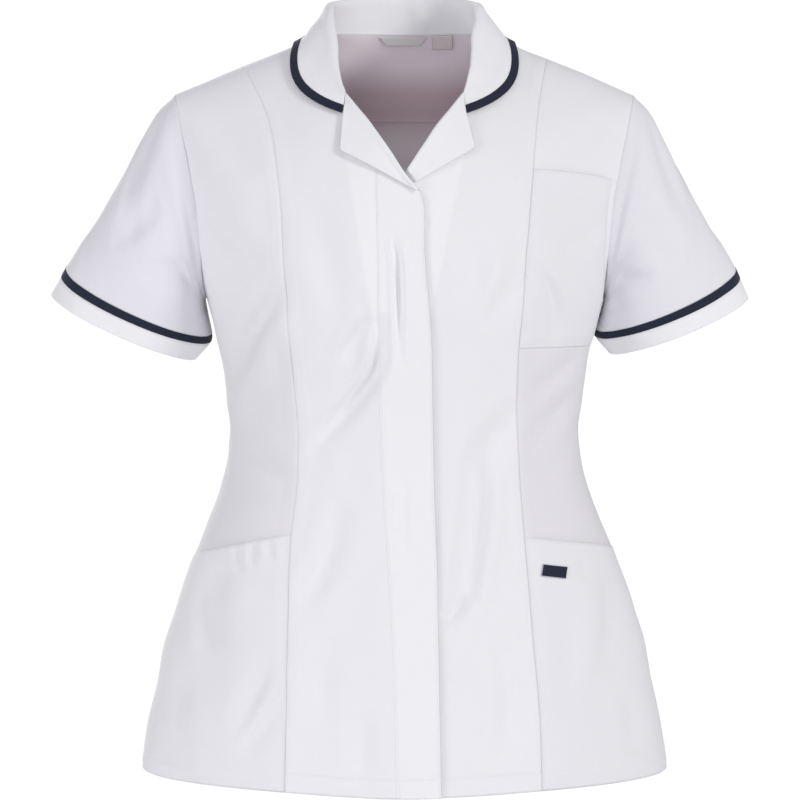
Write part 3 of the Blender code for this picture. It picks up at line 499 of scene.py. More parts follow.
def place_on(out, height, front):
    """Point of the surface at a place in the front (or back) view, and its normal."""
    height = np.minimum(height, height + shoulder_drop(out, height, front) - PROBE)
    depth = surface_depth(out, height, front)
    point = np.stack([out + 0 * height, np.where(front, -depth, depth), height + 0 * out], axis=-1)
    return point, body_gap(point.reshape(-1, 3))[1].reshape(point.shape)


# ------------------------------------------------------------------------ normals
def surface_normals(surface, across, along):
    """Normals of a surface that is read at two shares from 0 to 1."""
    left = surface(np.maximum(across - SHARE_PROBE, 0.0), along)
    right = surface(np.minimum(across + SHARE_PROBE, 1.0), along)
    above = surface(across, np.maximum(along - SHARE_PROBE, 0.0))
    below = surface(across, np.minimum(along + SHARE_PROBE, 1.0))
    return unit(np.cross(below - above, right - left))


# --------------------------------------------------------------------- the panels
class Panel:
    """The body surface between two seams, from a top edge down to a bottom edge.

    A seam gives an angle at a height, and the first seam has the smaller angle. A top
    or bottom gives a height for a place out. Rows crowd towards a top on the shoulder.
    """

    def __init__(self, first, second, top, bottom=None, crowd=CROWDED_ROWS):
        self.first = first
        self.second = second
        self.top = top
        self.bottom = bottom
        self.crowd = crowd

    def angle(self, across, height):
        return self.first(height) * (1 - across) + self.second(height) * across

    def meet(self, across, edge, height):
        """Height at which a column meets an edge."""
        for _ in range(MEETING_ROUNDS):
            height = edge(body_point(self.angle(across, height), height)[..., 0]) + 0 * across
        return height

    def ends(self, across):
        """Top and bottom height of each column."""
        places, which = np.unique(across, return_inverse=True)
        top, bottom = self.column_ends(places)
        return top[which], bottom[which]

    def column_ends(self, across):
        top = self.meet(across, self.top, FIRST_TOP + 0 * across)
        if self.bottom is None:
            front = np.maximum(np.cos(self.angle(across, HEM_HEIGHT + 0 * across)), 0.0)
            return top, HEM_HEIGHT - HEM_FRONT_DROP * front ** 2
        return top, self.meet(across, self.bottom, top)

    def point(self, across, along):
        top, bottom = self.ends(across)
        share = along ** 2 * (1 + self.crowd) / (along + self.crowd)
        height = top + (bottom - top) * share
        return body_point(self.angle(across, height), height)

    def along_at(self, across, height):
        """Share along a column at which it reaches a height."""
        top, bottom = self.ends(across)
        share = (height - top) / (bottom - top)
        root = share ** 2 + 4 * (1 + self.crowd) * self.crowd * share
        return (share + np.sqrt(root)) / (2 * (1 + self.crowd))


def princess_seam(side):
    """The princess seam's angle at a height."""
    return lambda height: front_angle(side * princess[side](height), height)


def side_edge(side, armhole, angle_of, behind):
    """Angle of a panel's outer edge: the armhole, and the side seam below it."""
    def edge(height):
        out = np.minimum(armhole(height), half_width(height))
        seam = math.pi / 2 + (SEAM_SIDE if behind else -SEAM_SIDE)
        if side == RIGHT:
            seam = 2 * math.pi - seam if behind else -seam
        return np.where(height > UNDERARM_HEIGHT, angle_of(side * out, height), seam)

    return edge


def overlap_lift(points):
    """The right front rises over the left one as it nears the placket."""
    start = placket_edge(points[..., 2]) - LIFT_START
    below = ease((points[..., 2] - LIFT_TOP) / (LIFT_FULL - LIFT_TOP))
    return PLACKET_LIFT * below * ease((points[..., 0] - start) / LIFT_RUN)


def right_front_edge(height):
    out = np.minimum(-front_neck(height), placket_line(height))
    return front_angle(out, height)


def left_front_edge(height):
    out = np.maximum(front_neck(height), placket_edge(height) - UNDERLAP)
    return front_angle(out, height)


def placket_top(out):
    """Height of the right front's roll line over the placket."""
    heights = np.linspace(BREAK_HEIGHT, GORGE_HEIGHT, SHORT_SEAM_STEPS)
    return np.interp(-out, front_neck(heights), heights)


# -------------------------------------------------------------------- the sleeves
def sleeve_ring(side, turn, run):
    """Point of the tube itself, on the left side; turn 0 is its outermost line."""
    ring = {column: line(run) for column, line in ring_line.items()}
    hang = SLEEVE_HANG[side] * run ** 2
    outer_out = ring["outer_out"] - SLEEVE_SWING * hang
    outer = np.stack([outer_out, 0 * run, ring["outer_height"] - hang], axis=-1)
    inner = np.stack([ring["inner_out"], 0 * run, ring["inner_height"]], axis=-1)
    major = (outer - inner) / 2
    axis = unit(np.stack([major[..., 2], 0 * run, -major[..., 0]], axis=-1))
    forward = np.sin(turn)
    reach = ring["drop"] * forward + SLEEVE_REACH[side] * run
    point = (outer + inner) / 2 + major * np.cos(turn)[..., None] + axis * reach[..., None]
    point[..., 1] -= ring["half_depth"] * forward
    return point


def armhole_loop(turn):
    """Point of the armhole's edge, on the left side, a little outside the body."""
    middle = (SHOULDER_TIP_HEIGHT + UNDERARM_HEIGHT) / 2
    height = middle + (SHOULDER_TIP_HEIGHT - middle) * np.cos(turn)
    front = np.sin(turn) > 0
    out = np.minimum(np.where(front, front_armhole(height), back_armhole(height)), half_width(height))
    depth = surface_depth(out, height, front)
    return np.stack([out + ARMHOLE_GAP, np.where(front, -depth, depth), height], axis=-1)


def sleeve_point(side, across, run):
    """Point of a sleeve: round it from its outermost line, and along it from the armhole."""
    turn = -side * 2 * math.pi * across
    fade = 1 - ease(run / SLEEVE_HEAD_SHARE)[..., None]
    head = armhole_loop(turn) - sleeve_ring(side, turn, 0 * run)
    return (sleeve_ring(side, turn, run) + head * fade) * (side, 1, 1)


# ------------------------------------------------------------- collar and lapels
TRIM_PROBE = 0.02         # share of an edge over which its way is read
LEAST_SLANT = 0.5
ROLL_SHARE = 0.3          # a roll's radius is at most this share of the way to the edge
ROLL_STEPS = 5            # points round a roll
FALL_SHARES = (0.33, 0.67)  # places of the points between the roll and the trim
FINE_STEPS = 12           # points read for each of a section's own


def run_along(line, start, end, front, by_height):
    """Points of the surface along a seam given by height or by place out."""
    if by_height:
        share = np.linspace(0, 1, SEAM_STEPS) ** 2
    else:
        share = np.sin(np.linspace(0.0, math.pi / 2, SEAM_STEPS))
    place = start + (end - start) * share
    out, height = (line(place), place) if by_height else (place, line(place))
    return place_on(out, height, front)[0]


seam_behind = Path(run_along(back_neck, 0.0, NECK_SIDE_OUT, False, by_height=False))
seam_before = Path(run_along(front_neck, FRONT_NECK[0].height, GORGE_HEIGHT, True, by_height=True))
edge_behind = Path(run_along(collar_back, 0.0, COLLAR_EDGE_BACK[-1].out, False, by_height=False))
edge_before = Path(run_along(
    collar_front, COLLAR_EDGE_FRONT[0].height, COLLAR_EDGE_FRONT[-1].height, True, by_height=True))
roll_line = Path(run_along(front_neck, GORGE_HEIGHT, BREAK_HEIGHT, True, by_height=True))


def trim_depth(edge_path, part, seam, edge):
    """How far in from the edge the trim starts on a section, for a trim of even width."""
    before, after = max(part - TRIM_PROBE, 0.0), min(part + TRIM_PROBE, 1.0)
    run = unit(edge_path.at(after) - edge_path.at(before))
    slant = np.linalg.norm(np.cross(run, unit(seam - edge)))
    return COLLAR_TRIM_WIDTH / max(slant, LEAST_SLANT)


def turned_section(seam, edge, up, rise, lean, lift, trim=COLLAR_TRIM_WIDTH):
    """Visible face of cloth that stands up from a seam, rolls over and falls to an edge."""
    outward = unit((edge - seam) - up * np.dot(edge - seam, up))
    radius = min(ROLL_WIDTH / 2, ROLL_SHARE * np.linalg.norm(edge - seam))
    fold = seam + up * rise - outward * lean
    centre = fold - up * radius + outward * radius
    points = [seam - up * SEAM_TUCK, (seam + centre - outward * radius) / 2]
    for turn in np.linspace(0.0, ROLL_TURN, ROLL_STEPS):
        points.append(centre - outward * radius * math.cos(turn) + up * radius * math.sin(turn))
    start = points[-1]
    inside = edge + unit(start - edge) * trim
    fall = [start + (inside - start) * share for share in FALL_SHARES] + [inside, edge]
    points += list(pushed_clear(np.array(fall), lift))
    return np.array(points)


def collar_section(turn):
    """Section of the collar; turn runs from 0 at the centre back to +-1 at the gorges."""
    side = 1.0 if turn >= 0 else -1.0
    share = abs(turn)
    if share < BACK_SHARE:
        part, seam_path, edge_path = share / BACK_SHARE, seam_behind, edge_behind
    else:
        part, seam_path, edge_path = (share - BACK_SHARE) / (1 - BACK_SHARE), seam_before, edge_before
    seam, edge = seam_path.at(part), edge_path.at(part)
    trim = trim_depth(edge_path, part, seam, edge)
    away = body_gap(seam[None, :])[1][0]
    up = unit(np.array([0.0, 0.0, 1.0]) * (1 - ease(2 * share - 1)) + away * ease(2 * share - 1))
    rise, lean = float(stand_rise(share)), float(stand_lean(share))
    section = turned_section(seam + away * LAYER_GAP, edge, up, rise, lean, EDGE_LIFT, trim)
    return section * (side, 1, 1)


def lapel_section(side, share):
    """Section of a lapel at a share of the roll line, from the gorge to the break."""
    lapel = LAPELS[side]
    notch, tip, end = np.array([lapel.notch, lapel.tip, lapel.end])
    upper = min(share / LAPEL_TIP_SHARE, 1.0)
    lower = max((share - LAPEL_TIP_SHARE) / (1 - LAPEL_TIP_SHARE), 0.0)
    out, height = notch + (tip - notch) * upper + (end - tip) * lower
    edge = place_on(np.array(side * out), np.array(height), np.array(True))[0]
    seam = roll_line.at(share) * (side, 1, 1)
    away = body_gap(seam[None, :])[1][0]
    base = float(max(overlap_lift(seam), overlap_lift(edge))) if side == RIGHT else 0.0
    return turned_section(seam + away * (base + LAYER_GAP), edge, away, ROLL_HEIGHT, 0.0, base + EDGE_LIFT)


class Loft:
    """A smooth surface through sections, each first spaced evenly along its own length."""

    def __init__(self, sections, steps):
        rows = []
        for section in sections:
            dense = smooth_through(section, np.linspace(0, len(section) - 1, FINE_STEPS * len(section)))
            rows.append(Path(dense).at(np.linspace(0, 1, steps + 1)).T)
        self.points = np.array(rows)
        self.slopes_across = np.gradient(self.points, axis=0)
        self.slopes_along = np.gradient(self.points, axis=1)
        self.twist = np.gradient(self.slopes_across, axis=1)

    def __call__(self, across, along):
        last = np.array(self.points.shape[:2]) - 1
        places = np.clip(across, 0, 1) * last[0], np.clip(along, 0, 1) * last[1]
        cells = [np.clip(np.floor(place).astype(int), 0, end - 1) for place, end in zip(places, last)]
        first, second = [(place - cell)[:, None] for place, cell in zip(places, cells)]
        row, column = cells

        def through(values, slopes, line):
            return hermite(second, values[line, column], values[line, column + 1],
                           slopes[line, column], slopes[line, column + 1])

        return hermite(first, through(self.points, self.slopes_along, row),
                       through(self.points, self.slopes_along, row + 1),
                       through(self.slopes_across, self.twist, row),
                       through(self.slopes_across, self.twist, row + 1))


# ------------------------------------------------------------------------ creases
CREASE_STEPS = 30         # points along a crease
CREASE_LEAN = 0.6         # how much steeper one side of a leaning crease is than the other
CREASE_END_POWER = 0.8    # how bluntly a crease ends
LIP_PLACE = 1.9           # the low lips beside a trough: breadths from its middle
LIP_HEIGHT = 0.32         # and their height as a share of the trough's depth
NOISE_CELLS = 64          # cells of unevenness before they repeat
NOISE_START = 20.0        # cells by which they are moved, to keep every place above zero
LUMPS = ((0.00100, 0.045), (0.00045, 0.021), (0.00010, 0.009))  # height and size of each

# a crease runs through places (across, up) in metres; a depth below zero is a ridge
Crease = namedtuple("Crease", "places breadth depth lean")
FRONT_CREASES = (
    Crease(((-0.1064, -0.2431), (-0.1270, -0.2789), (-0.1467, -0.3281)), 0.0090, -0.0027, 0.3),
    Crease(((-0.1154, -0.2253), (-0.1306, -0.2539), (-0.1485, -0.2807)), 0.0075, 0.0033, -0.3),
    Crease(((-0.0217, -0.2439), (-0.0235, -0.2709), (-0.0289, -0.2980), (-0.0460, -0.3233),
            (-0.0622, -0.3431), (-0.0866, -0.3747)), 0.0068, 0.0078, 0.4),
    Crease(((-0.0289, -0.2466), (-0.0420, -0.2660), (-0.0560, -0.2900)), 0.0075, 0.0045, 0.2),
    Crease(((-0.0126, -0.1715), (-0.0076, -0.1961), (-0.0066, -0.2168), (-0.0056, -0.2502),
            (-0.0036, -0.2980)), 0.0034, 0.0054, 0.3),
    Crease(((-0.0009, -0.3900), (-0.0012, -0.4250), (-0.0010, -0.4600)), 0.0040, 0.0014, 0.0),
    Crease(((-0.0577, -0.4100), (-0.0667, -0.4540), (-0.0848, -0.4937), (-0.0965, -0.5100)),
           0.0100, 0.0048, 0.2),
    Crease(((0.0900, -0.3400), (0.0716, -0.3684), (0.0680, -0.4200), (0.0610, -0.4700),
            (0.0520, -0.5070), (0.0400, -0.5280)), 0.0095, 0.0070, -0.3),
    Crease(((0.0560, -0.4980), (0.0470, -0.5120), (0.0380, -0.5250)), 0.0050, 0.0039, -0.2),
    Crease(((0.1000, -0.3218), (0.0903, -0.3558), (0.0787, -0.3970)), 0.0090, 0.0036, -0.2),
    Crease(((0.1090, -0.1734), (0.0948, -0.2208), (0.0698, -0.2610)), 0.0110, 0.0036, 0.3),
    Crease(((-0.1771, -0.1573), (-0.1538, -0.1859), (-0.1252, -0.2020)), 0.0080, 0.0024, 0.4),
    Crease(((0.1807, -0.1573), (0.1619, -0.1805), (0.1395, -0.1913)), 0.0080, 0.0021, -0.4),
    Crease(((-0.1860, -0.0661), (-0.1574, -0.0929), (-0.1342, -0.1233)), 0.0110, 0.0018, 0.2),
    Crease(((0.1860, -0.0661), (0.1664, -0.0911), (0.1413, -0.1090)), 0.0100, 0.0015, -0.2),
    Crease(((0.1556, -0.3165), (0.1359, -0.3433), (0.1127, -0.3701)), 0.0090, 0.0033, -0.4),
    Crease(((0.1601, -0.2807), (0.1395, -0.3040), (0.1118, -0.3254)), 0.0080, 0.0027, -0.3),
    Crease(((-0.1560, -0.3480), (-0.1360, -0.3800), (-0.1040, -0.4010)), 0.0090, 0.0024, 0.3),
    Crease(((-0.0662, -0.5310), (-0.0769, -0.5725), (-0.0733, -0.6230)), 0.0130, 0.0039, 0.2),
    Crease(((0.0859, -0.5383), (0.0948, -0.5919), (0.0912, -0.6546)), 0.0110, 0.0036, 0.2),
    Crease(((-0.0380, -0.6000), (-0.0400, -0.6400), (-0.0385, -0.6740)), 0.0100, 0.0030, 0.1),
    Crease(((-0.0850, -0.1500), (-0.0700, -0.2000), (-0.0620, -0.2450)), 0.0120, 0.0033, 0.2),
    Crease(((0.0500, -0.1600), (0.0620, -0.2050), (0.0560, -0.2500)), 0.0120, 0.0027, 0.2),
)
POCKET_CREASES = (
    Crease(((-0.1699, -0.4750), (-0.1789, -0.5097), (-0.1762, -0.5580)), 0.0100, 0.0045, 0.3),
    Crease(((-0.1055, -0.5830), (-0.1261, -0.6152), (-0.1467, -0.6456)), 0.0070, 0.0032, 0.4),
    Crease(((-0.1181, -0.5517), (-0.1359, -0.5919), (-0.1503, -0.6295)), 0.0080, 0.0029, -0.2),
    Crease(((-0.1512, -0.4560), (-0.1476, -0.4819)), 0.0034, 0.0018, 0.0),
    Crease(((-0.1359, -0.4533), (-0.1377, -0.4775)), 0.0032, 0.0016, 0.2),
    Crease(((-0.1216, -0.4497), (-0.1190, -0.4721)), 0.0034, 0.0018, 0.0),
    Crease(((-0.1980, -0.5700), (-0.2050, -0.6050), (-0.2010, -0.6450)), 0.0080, 0.0022, 0.2),
    Crease(((0.1807, -0.4750), (0.1878, -0.5204), (0.1833, -0.5776)), 0.0110, 0.0035, 0.2),
    Crease(((0.1395, -0.5043), (0.1494, -0.5472), (0.1458, -0.5937)), 0.0100, 0.0019, -0.2),
    Crease(((0.1600, -0.4680), (0.1620, -0.4890)), 0.0034, 0.0014, 0.0),
    Crease(((0.2000, -0.5900), (0.2070, -0.6200), (0.2040, -0.6500)), 0.0080, 0.0022, 0.1),
)
CHEST_POCKET_CREASES = (
    Crease(((0.1163, -0.2002), (0.1270, -0.2181), (0.1342, -0.2396), (0.1333, -0.2727)),
           0.0050, 0.0034, 0.3),
    Crease(((0.1500, -0.1500), (0.1540, -0.1900), (0.1500, -0.2300)), 0.0120, 0.0018, 0.2),
)
BACK_CREASES = (
    Crease(((-0.1620, -0.1350), (-0.1350, -0.1800), (-0.1050, -0.2150)), 0.0110, 0.0046, 0.3),
    Crease(((0.1660, -0.1450), (0.1400, -0.1850), (0.1120, -0.2080)), 0.0100, 0.0039, -0.3),
    Crease(((-0.0950, -0.1900), (-0.0820, -0.2700), (-0.0900, -0.3400)), 0.0140, 0.0053, 0.2),
    Crease(((0.0880, -0.1800), (0.0760, -0.2600), (0.0860, -0.3500)), 0.0150, 0.0049, -0.2),
    Crease(((-0.0300, -0.2600), (-0.0360, -0.3200), (-0.0260, -0.3750)), 0.0120, 0.0031, 0.1),
    Crease(((0.0260, -0.2450), (0.0310, -0.3100), (0.0240, -0.3600)), 0.0110, 0.0027, -0.1),
    Crease(((-0.1520, -0.3250), (-0.1150, -0.3500), (-0.0700, -0.3600)), 0.0090, 0.0046, 0.4),
    Crease(((0.1540, -0.3350), (0.1200, -0.3550), (0.0760, -0.3700)), 0.0090, 0.0042, -0.4),
    Crease(((-0.1400, -0.2880), (-0.1060, -0.3080), (-0.0760, -0.3120)), 0.0080, 0.0028, 0.3),
    Crease(((0.0500, -0.3420), (0.0100, -0.3500), (-0.0360, -0.3440)), 0.0090, 0.0027, 0.3),
    Crease(((-0.1280, -0.4100), (-0.1370, -0.5000), (-0.1500, -0.5900)), 0.0170, 0.0053, 0.2),
    Crease(((0.1200, -0.4200), (0.1340, -0.5100), (0.1380, -0.6200)), 0.0160, 0.0053, -0.2),
    Crease(((-0.0420, -0.4300), (-0.0500, -0.5300), (-0.0480, -0.6500)), 0.0190, 0.0053, 0.1),
    Crease(((0.0460, -0.4500), (0.0520, -0.5500), (0.0600, -0.6600)), 0.0180, 0.0046, -0.1),
    Crease(((-0.1900, -0.5200), (-0.1980, -0.5800), (-0.2060, -0.6500)), 0.0110, 0.0035, 0.2),
    Crease(((0.1880, -0.5000), (0.2010, -0.5700), (0.2050, -0.6400)), 0.0110, 0.0031, -0.2),
)
# on a sleeve: across is metres round it from its outermost line to the front, up is metres
# up from the cuff's edge
SLEEVE_CREASES = {
    RIGHT: (
        Crease(((0.0450, 0.1870), (0.0950, 0.1850), (0.1450, 0.1860)), 0.0095, 0.0034, 0.3),
        Crease(((0.0150, 0.1900), (0.0300, 0.1450), (0.0520, 0.0900)), 0.0090, 0.0032, 0.3),
        Crease(((0.0700, 0.1500), (0.0620, 0.1150), (0.0480, 0.0750)), 0.0080, 0.0042, -0.3),
        Crease(((0.1150, 0.1500), (0.0980, 0.1150), (0.0820, 0.0700)), 0.0080, 0.0038, 0.3),
        Crease(((-0.0250, 0.1850), (-0.0400, 0.1350), (-0.0560, 0.0850)), 0.0090, 0.0035, 0.2),
        Crease(((-0.1150, 0.1500), (-0.0960, 0.1150), (-0.0780, 0.0650)), 0.0090, 0.0042, -0.3),
        Crease(((-0.0100, 0.1250), (-0.0060, 0.0900), (0.0040, 0.0550)), 0.0120, 0.0022, 0.1),
    ),
    LEFT: (
        Crease(((0.0420, 0.1870), (0.0900, 0.1855), (0.1420, 0.1860)), 0.0090, 0.0030, 0.3),
        Crease(((0.0200, 0.1850), (0.0340, 0.1400), (0.0440, 0.0950)), 0.0090, 0.0032, 0.2),
        Crease(((0.0850, 0.1550), (0.0700, 0.1150), (0.0600, 0.0700)), 0.0085, 0.0035, -0.2),
        Crease(((0.1200, 0.1450), (0.1050, 0.1100), (0.0900, 0.0800)), 0.0070, 0.0035, 0.3),
        Crease(((-0.0200, 0.1900), (-0.0360, 0.1500), (-0.0600, 0.1000)), 0.0090, 0.0035, 0.2),
        Crease(((-0.1080, 0.1550), (-0.0940, 0.1100), (-0.0700, 0.0700)), 0.0090, 0.0042, -0.3),
        Crease(((-0.0020, 0.1150), (-0.0080, 0.0850), (-0.0040, 0.0500)), 0.0110, 0.0019, 0.1),
    ),
}


def crease_rise(across, up, creases):
    """Rise of the cloth from its creases: a trough between two low lips."""
    total = np.zeros(np.shape(across))
    places = np.stack([across, up], axis=-1)
    for crease in creases:
        corners = np.array(crease.places)
        if len(corners) == 2:
            corners = np.array([corners[0], corners.mean(axis=0), corners[1]])
        curve = smooth_through(corners, np.linspace(0, len(corners) - 1, CREASE_STEPS))
        away = places[:, None, :] - curve[None, :, :]
        nearest = np.argmin((away ** 2).sum(axis=-1), axis=1)
        away = np.take_along_axis(away, nearest[:, None, None], axis=1)[:, 0]
        way = unit(np.gradient(curve, axis=0))[nearest]
        pace = np.linalg.norm(np.diff(curve, axis=0), axis=1).mean()
        share = (nearest + (away * way).sum(axis=-1) / pace) / (len(curve) - 1)
        side = (away[:, 0] * way[:, 1] - away[:, 1] * way[:, 0]) / crease.breadth
        side = side * np.where(side > 0, 1 + CREASE_LEAN * crease.lean, 1 - CREASE_LEAN * crease.lean)
        taper = np.sin(math.pi * np.clip(share, 0.0, 1.0)) ** CREASE_END_POWER
        lips = np.exp(-((side - LIP_PLACE) ** 2)) + np.exp(-((side + LIP_PLACE) ** 2))
        total -= crease.depth * taper * (np.exp(-(side ** 2)) - LIP_HEIGHT * lips)
    return total


def soft_noise(across, up, size, seed):
    """Smooth unevenness from -1 to 1 with lumps of about this size."""
    rng = np.random.default_rng(seed)
    lattice = rng.uniform(-1.0, 1.0, (NOISE_CELLS, NOISE_CELLS))
    right = np.asarray(across) / size + NOISE_START
    top = np.asarray(up) / size + NOISE_START
    column, row = np.floor(right).astype(int), np.floor(top).astype(int)
    part_right, part_top = ease(right - column), ease(top - row)

    def between(row):
        first = lattice[row % NOISE_CELLS, column % NOISE_CELLS]
        second = lattice[row % NOISE_CELLS, (column + 1) % NOISE_CELLS]
        return first * (1 - part_right) + second * part_right

    return between(row) * (1 - part_top) + between(row + 1) * part_top


def unevenness(across, up, seed):
    """Low unevenness of cloth that has been worn and pressed."""
    return sum(height * soft_noise(across, up, size, seed + step)
               for step, (height, size) in enumerate(LUMPS))


def groove(distance, place, depth, breadth):
    """A narrow dip in the cloth at a distance from an edge, as a line of stitches pulls it."""
    return -depth * np.exp(-(((distance - place) / breadth) ** 2))


# -------------------------------------------------------------- cutting the cloth
GRID_DIGITS = 7           # a grid's shares are rounded to this many digits
WELD = 2e-6               # points of a ring's two ends closer than this are one
# columns and rows of the grid that each kind of piece is cut as
GRIDS = {
    "front_right": (70, 260),
    "front_left": (76, 260),
    "placket": (64, 300),
    "side_front": (70, 260),
    "pocket": (64, 96),
    "yoke": (160, 44),
    "back": (160, 210),
    "sleeve": (180, 88),
    "sleeve_trim": (180, 6),
    "cuff": (180, 16),
    "collar": (190, 48),
    "collar_trim": (190, 6),
    "lapel": (48, 44),
    "label": (36, 18),
    "tape": (36, 12),
}
Edges = namedtuple("Edges", "first second top bottom")


class Piece:
    """The numbers of one piece while it is cut: shares, points, normals and edge distances."""

    def __init__(self, kind, surface):
        columns, rows = GRIDS[kind]
        shape = bmesh.new()
        bmesh.ops.create_grid(shape, x_segments=columns, y_segments=rows, size=0.5)
        self.mesh = bpy.data.meshes.new("cloth")
        shape.to_mesh(self.mesh)
        shape.free()
        flat = np.empty(3 * len(self.mesh.vertices))
        self.mesh.vertices.foreach_get("co", flat)
        self.across = np.round(flat[0::3] + 0.5, GRID_DIGITS)
        self.along = np.round(0.5 - flat[1::3], GRID_DIGITS)
        self.points = surface(self.across, self.along)
        self.normals = surface_normals(surface, self.across, self.along)
        column = np.round(self.across * columns).astype(int)
        row = np.round(self.along * rows).astype(int)
        grid = np.zeros((rows + 1, columns + 1, 3))
        grid[row, column] = self.points
        width = np.linalg.norm(np.diff(grid, axis=1), axis=2).cumsum(axis=1)
        width = np.concatenate([np.zeros((rows + 1, 1)), width], axis=1)
        length = np.linalg.norm(np.diff(grid, axis=0), axis=2).cumsum(axis=0)
        length = np.concatenate([np.zeros((1, columns + 1)), length], axis=0)
        self.edges = Edges(width[row, column], (width[:, -1:] - width)[row, column],
                           length[row, column], (length[-1:] - length)[row, column])
        middle = width[:, columns // 2][:, None]
        self.weave = np.stack([(width - middle)[row, column], self.edges.bottom], axis=-1)
        self.flat_size = (float(width[:, -1].max()), float(length[-1].max()))
        self.area = float((np.diff(width, axis=1)[:-1] * np.diff(length, axis=0)[:, :-1]).sum())


def finish_piece(piece, name, height, material, slot, wall, ring=False, inside=None):
    """Gives the cut piece its relief, weave map, edge distances and thickness."""
    mesh = piece.mesh
    mesh.name = name
    outer = piece.points + piece.normals * np.reshape(height, (-1, 1))
    mesh.vertices.foreach_set("co", outer.ravel())
    corner = np.empty(len(mesh.loops), dtype=int)
    mesh.loops.foreach_get("vertex_index", corner)
    weave_map = mesh.uv_layers.new(name="weave")
    weave_map.data.foreach_set("uv", piece.weave[corner].ravel())
    for label, values in zip(Edges._fields, piece.edges):
        layer = mesh.attributes.new(f"from_{label}", "FLOAT", "POINT")
        layer.data.foreach_set("value", values)
    mesh.polygons.foreach_set("use_smooth", np.ones(len(mesh.polygons), dtype=bool))
    mesh.materials.append(material)
    cloth = bpy.data.objects.new(name, mesh)
    bpy.context.scene.collection.objects.link(cloth)
    if ring:
        closed = bmesh.new()
        closed.from_mesh(mesh)
        bmesh.ops.remove_doubles(closed, verts=closed.verts[:], dist=WELD)
        closed.to_mesh(mesh)
        closed.free()
    mesh.update()
    thick = cloth.modifiers.new("wall", "SOLIDIFY")
    thick.thickness = wall
    thick.offset = -1.0
    thick.use_rim = True
    if inside is not None:
        mesh.materials.append(inside)
        thick.material_offset = 1
    bpy.ops.object.select_all(action="DESELECT")
    bpy.context.view_layer.objects.active = cloth
    cloth.select_set(True)
    bpy.ops.object.modifier_apply(modifier="wall")
    cloth.select_set(False)
    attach(cloth, "root")
    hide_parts(name.replace("cloth_", ""))
    return cloth


# ------------------------------------------------------------------------ finishes
WARP_CELLS = (1400.0, 70.0, 1.0)      # noise cells in a metre across the cloth and along it
WEFT_CELLS = (60.0, 1250.0, 1.0)
CRUMPLE_CELLS = (95.0, 95.0, 70.0)
CROSSING_RATE = 9000.0                # radians of the plain weave in a metre
YARN_HEIGHT = 0.018                   # heights of the relief in millimetres
CROSSING_HEIGHT = 0.004
CRUMPLE_HEIGHT = 0.16
STITCHES_IN_METRE = 380.0
THREAD_EDGE = (0.00020, 0.00042)      # distance from a row's middle at which the thread fades
THREAD_END = (0.36, 0.46)             # the same along a stitch, as a share of a step
DENT_REACH = (0.0, 0.0016)
DENT_DEPTH = 0.18                     # millimetres
# painted shadow in a stitch row's dent: the share of its colour mixed into the cloth
DENT_PAINTED_SHADOW_SHARE = 0.12
THREAD_HEIGHT = 0.12                  # millimetres
# colour of the painted shadow in a stitch row's dent
DENT_PAINTED_SHADOW_COLOUR = (0.62, 0.62, 0.67, 1.0)
THREAD_COLOUR = (0.90, 0.90, 0.92, 1.0)
FACING_EDGE = (-0.0030, 0.0015)       # distances over which the facing's edge shows
FACING_FADE = (0.26, 0.33)            # depths below the shoulder at which it is lost

# roughness, sheen and specular of each kind of cloth
Surface = namedtuple("Surface", "roughness sheen specular")
WHITE_SURFACE = Surface(0.84, 0.12, 0.25)
BRAID_SURFACE = Surface(0.78, 0.10, 0.30)
TAPE_SURFACE = Surface(0.55, 0.10, 0.40)

WHITE_LIGHT = (0.875, 0.870, 0.882, 1.0)
WHITE_DEEP = (0.840, 0.833, 0.852, 1.0)
DOUBLED_LIGHT = (0.905, 0.901, 0.910, 1.0)
DOUBLED_DEEP = (0.872, 0.867, 0.882, 1.0)
NAVY_DEEP = (0.006, 0.008, 0.020, 1.0)
NAVY_LIGHT = (0.016, 0.021, 0.048, 1.0)
TWILL_RATE = 5200.0                   # radians of the braid's twill in a metre
TWILL_HEIGHT = 0.020
BRAID_CELLS = (900.0, 900.0, 1.0)
BRAID_FLECK_HEIGHT = 0.04
BORDER_PLACE = 0.0002                 # from the label's edge to the middle of its border
BORDER_EDGE = (0.00012, 0.00028)
BORDER_COLOUR = (0.60, 0.61, 0.66, 1.0)
RIB_RATE = 7000.0                     # radians of the tape's ribs in a metre
RIB_HEIGHT = 0.01
TAPE_CELLS = (500.0, 1600.0, 1.0)
TAPE_FLECK_HEIGHT = 0.03
SELVEDGE_SHADE = 0.72
SELVEDGE = (0.0006, 0.0014)


def new_group(name, inputs, outputs):
    group = bpy.data.node_groups.new(name, "ShaderNodeTree")
    for label in inputs:
        group.interface.new_socket(label, in_out="INPUT", socket_type="NodeSocketFloat")
    for label in outputs:
        group.interface.new_socket(label, in_out="OUTPUT", socket_type="NodeSocketFloat")
    return group, group.nodes.new("NodeGroupInput"), group.nodes.new("NodeGroupOutput")


def set_input(tree, socket, value):
    """A socket gets a number or colour, or a link from another socket."""
    if isinstance(value, bpy.types.NodeSocket):
        tree.links.new(value, socket)
    else:
        socket.default_value = value


def maths(tree, operation, *values):
    node = tree.nodes.new("ShaderNodeMath")
    node.operation = operation
    for socket, value in zip(node.inputs, values):
        set_input(tree, socket, value)
    return node.outputs[0]


def smooth_step(tree, value, start, end):
    """1 where the value is below start, falling to 0 at end."""
    node = tree.nodes.new("ShaderNodeMapRange")
    node.interpolation_type = "SMOOTHSTEP"
    set_input(tree, node.inputs["Value"], value)
    node.inputs["From Min"].default_value = start
    node.inputs["From Max"].default_value = end
    node.inputs["To Min"].default_value = 1.0
    node.inputs["To Max"].default_value = 0.0
    return node.outputs["Result"]


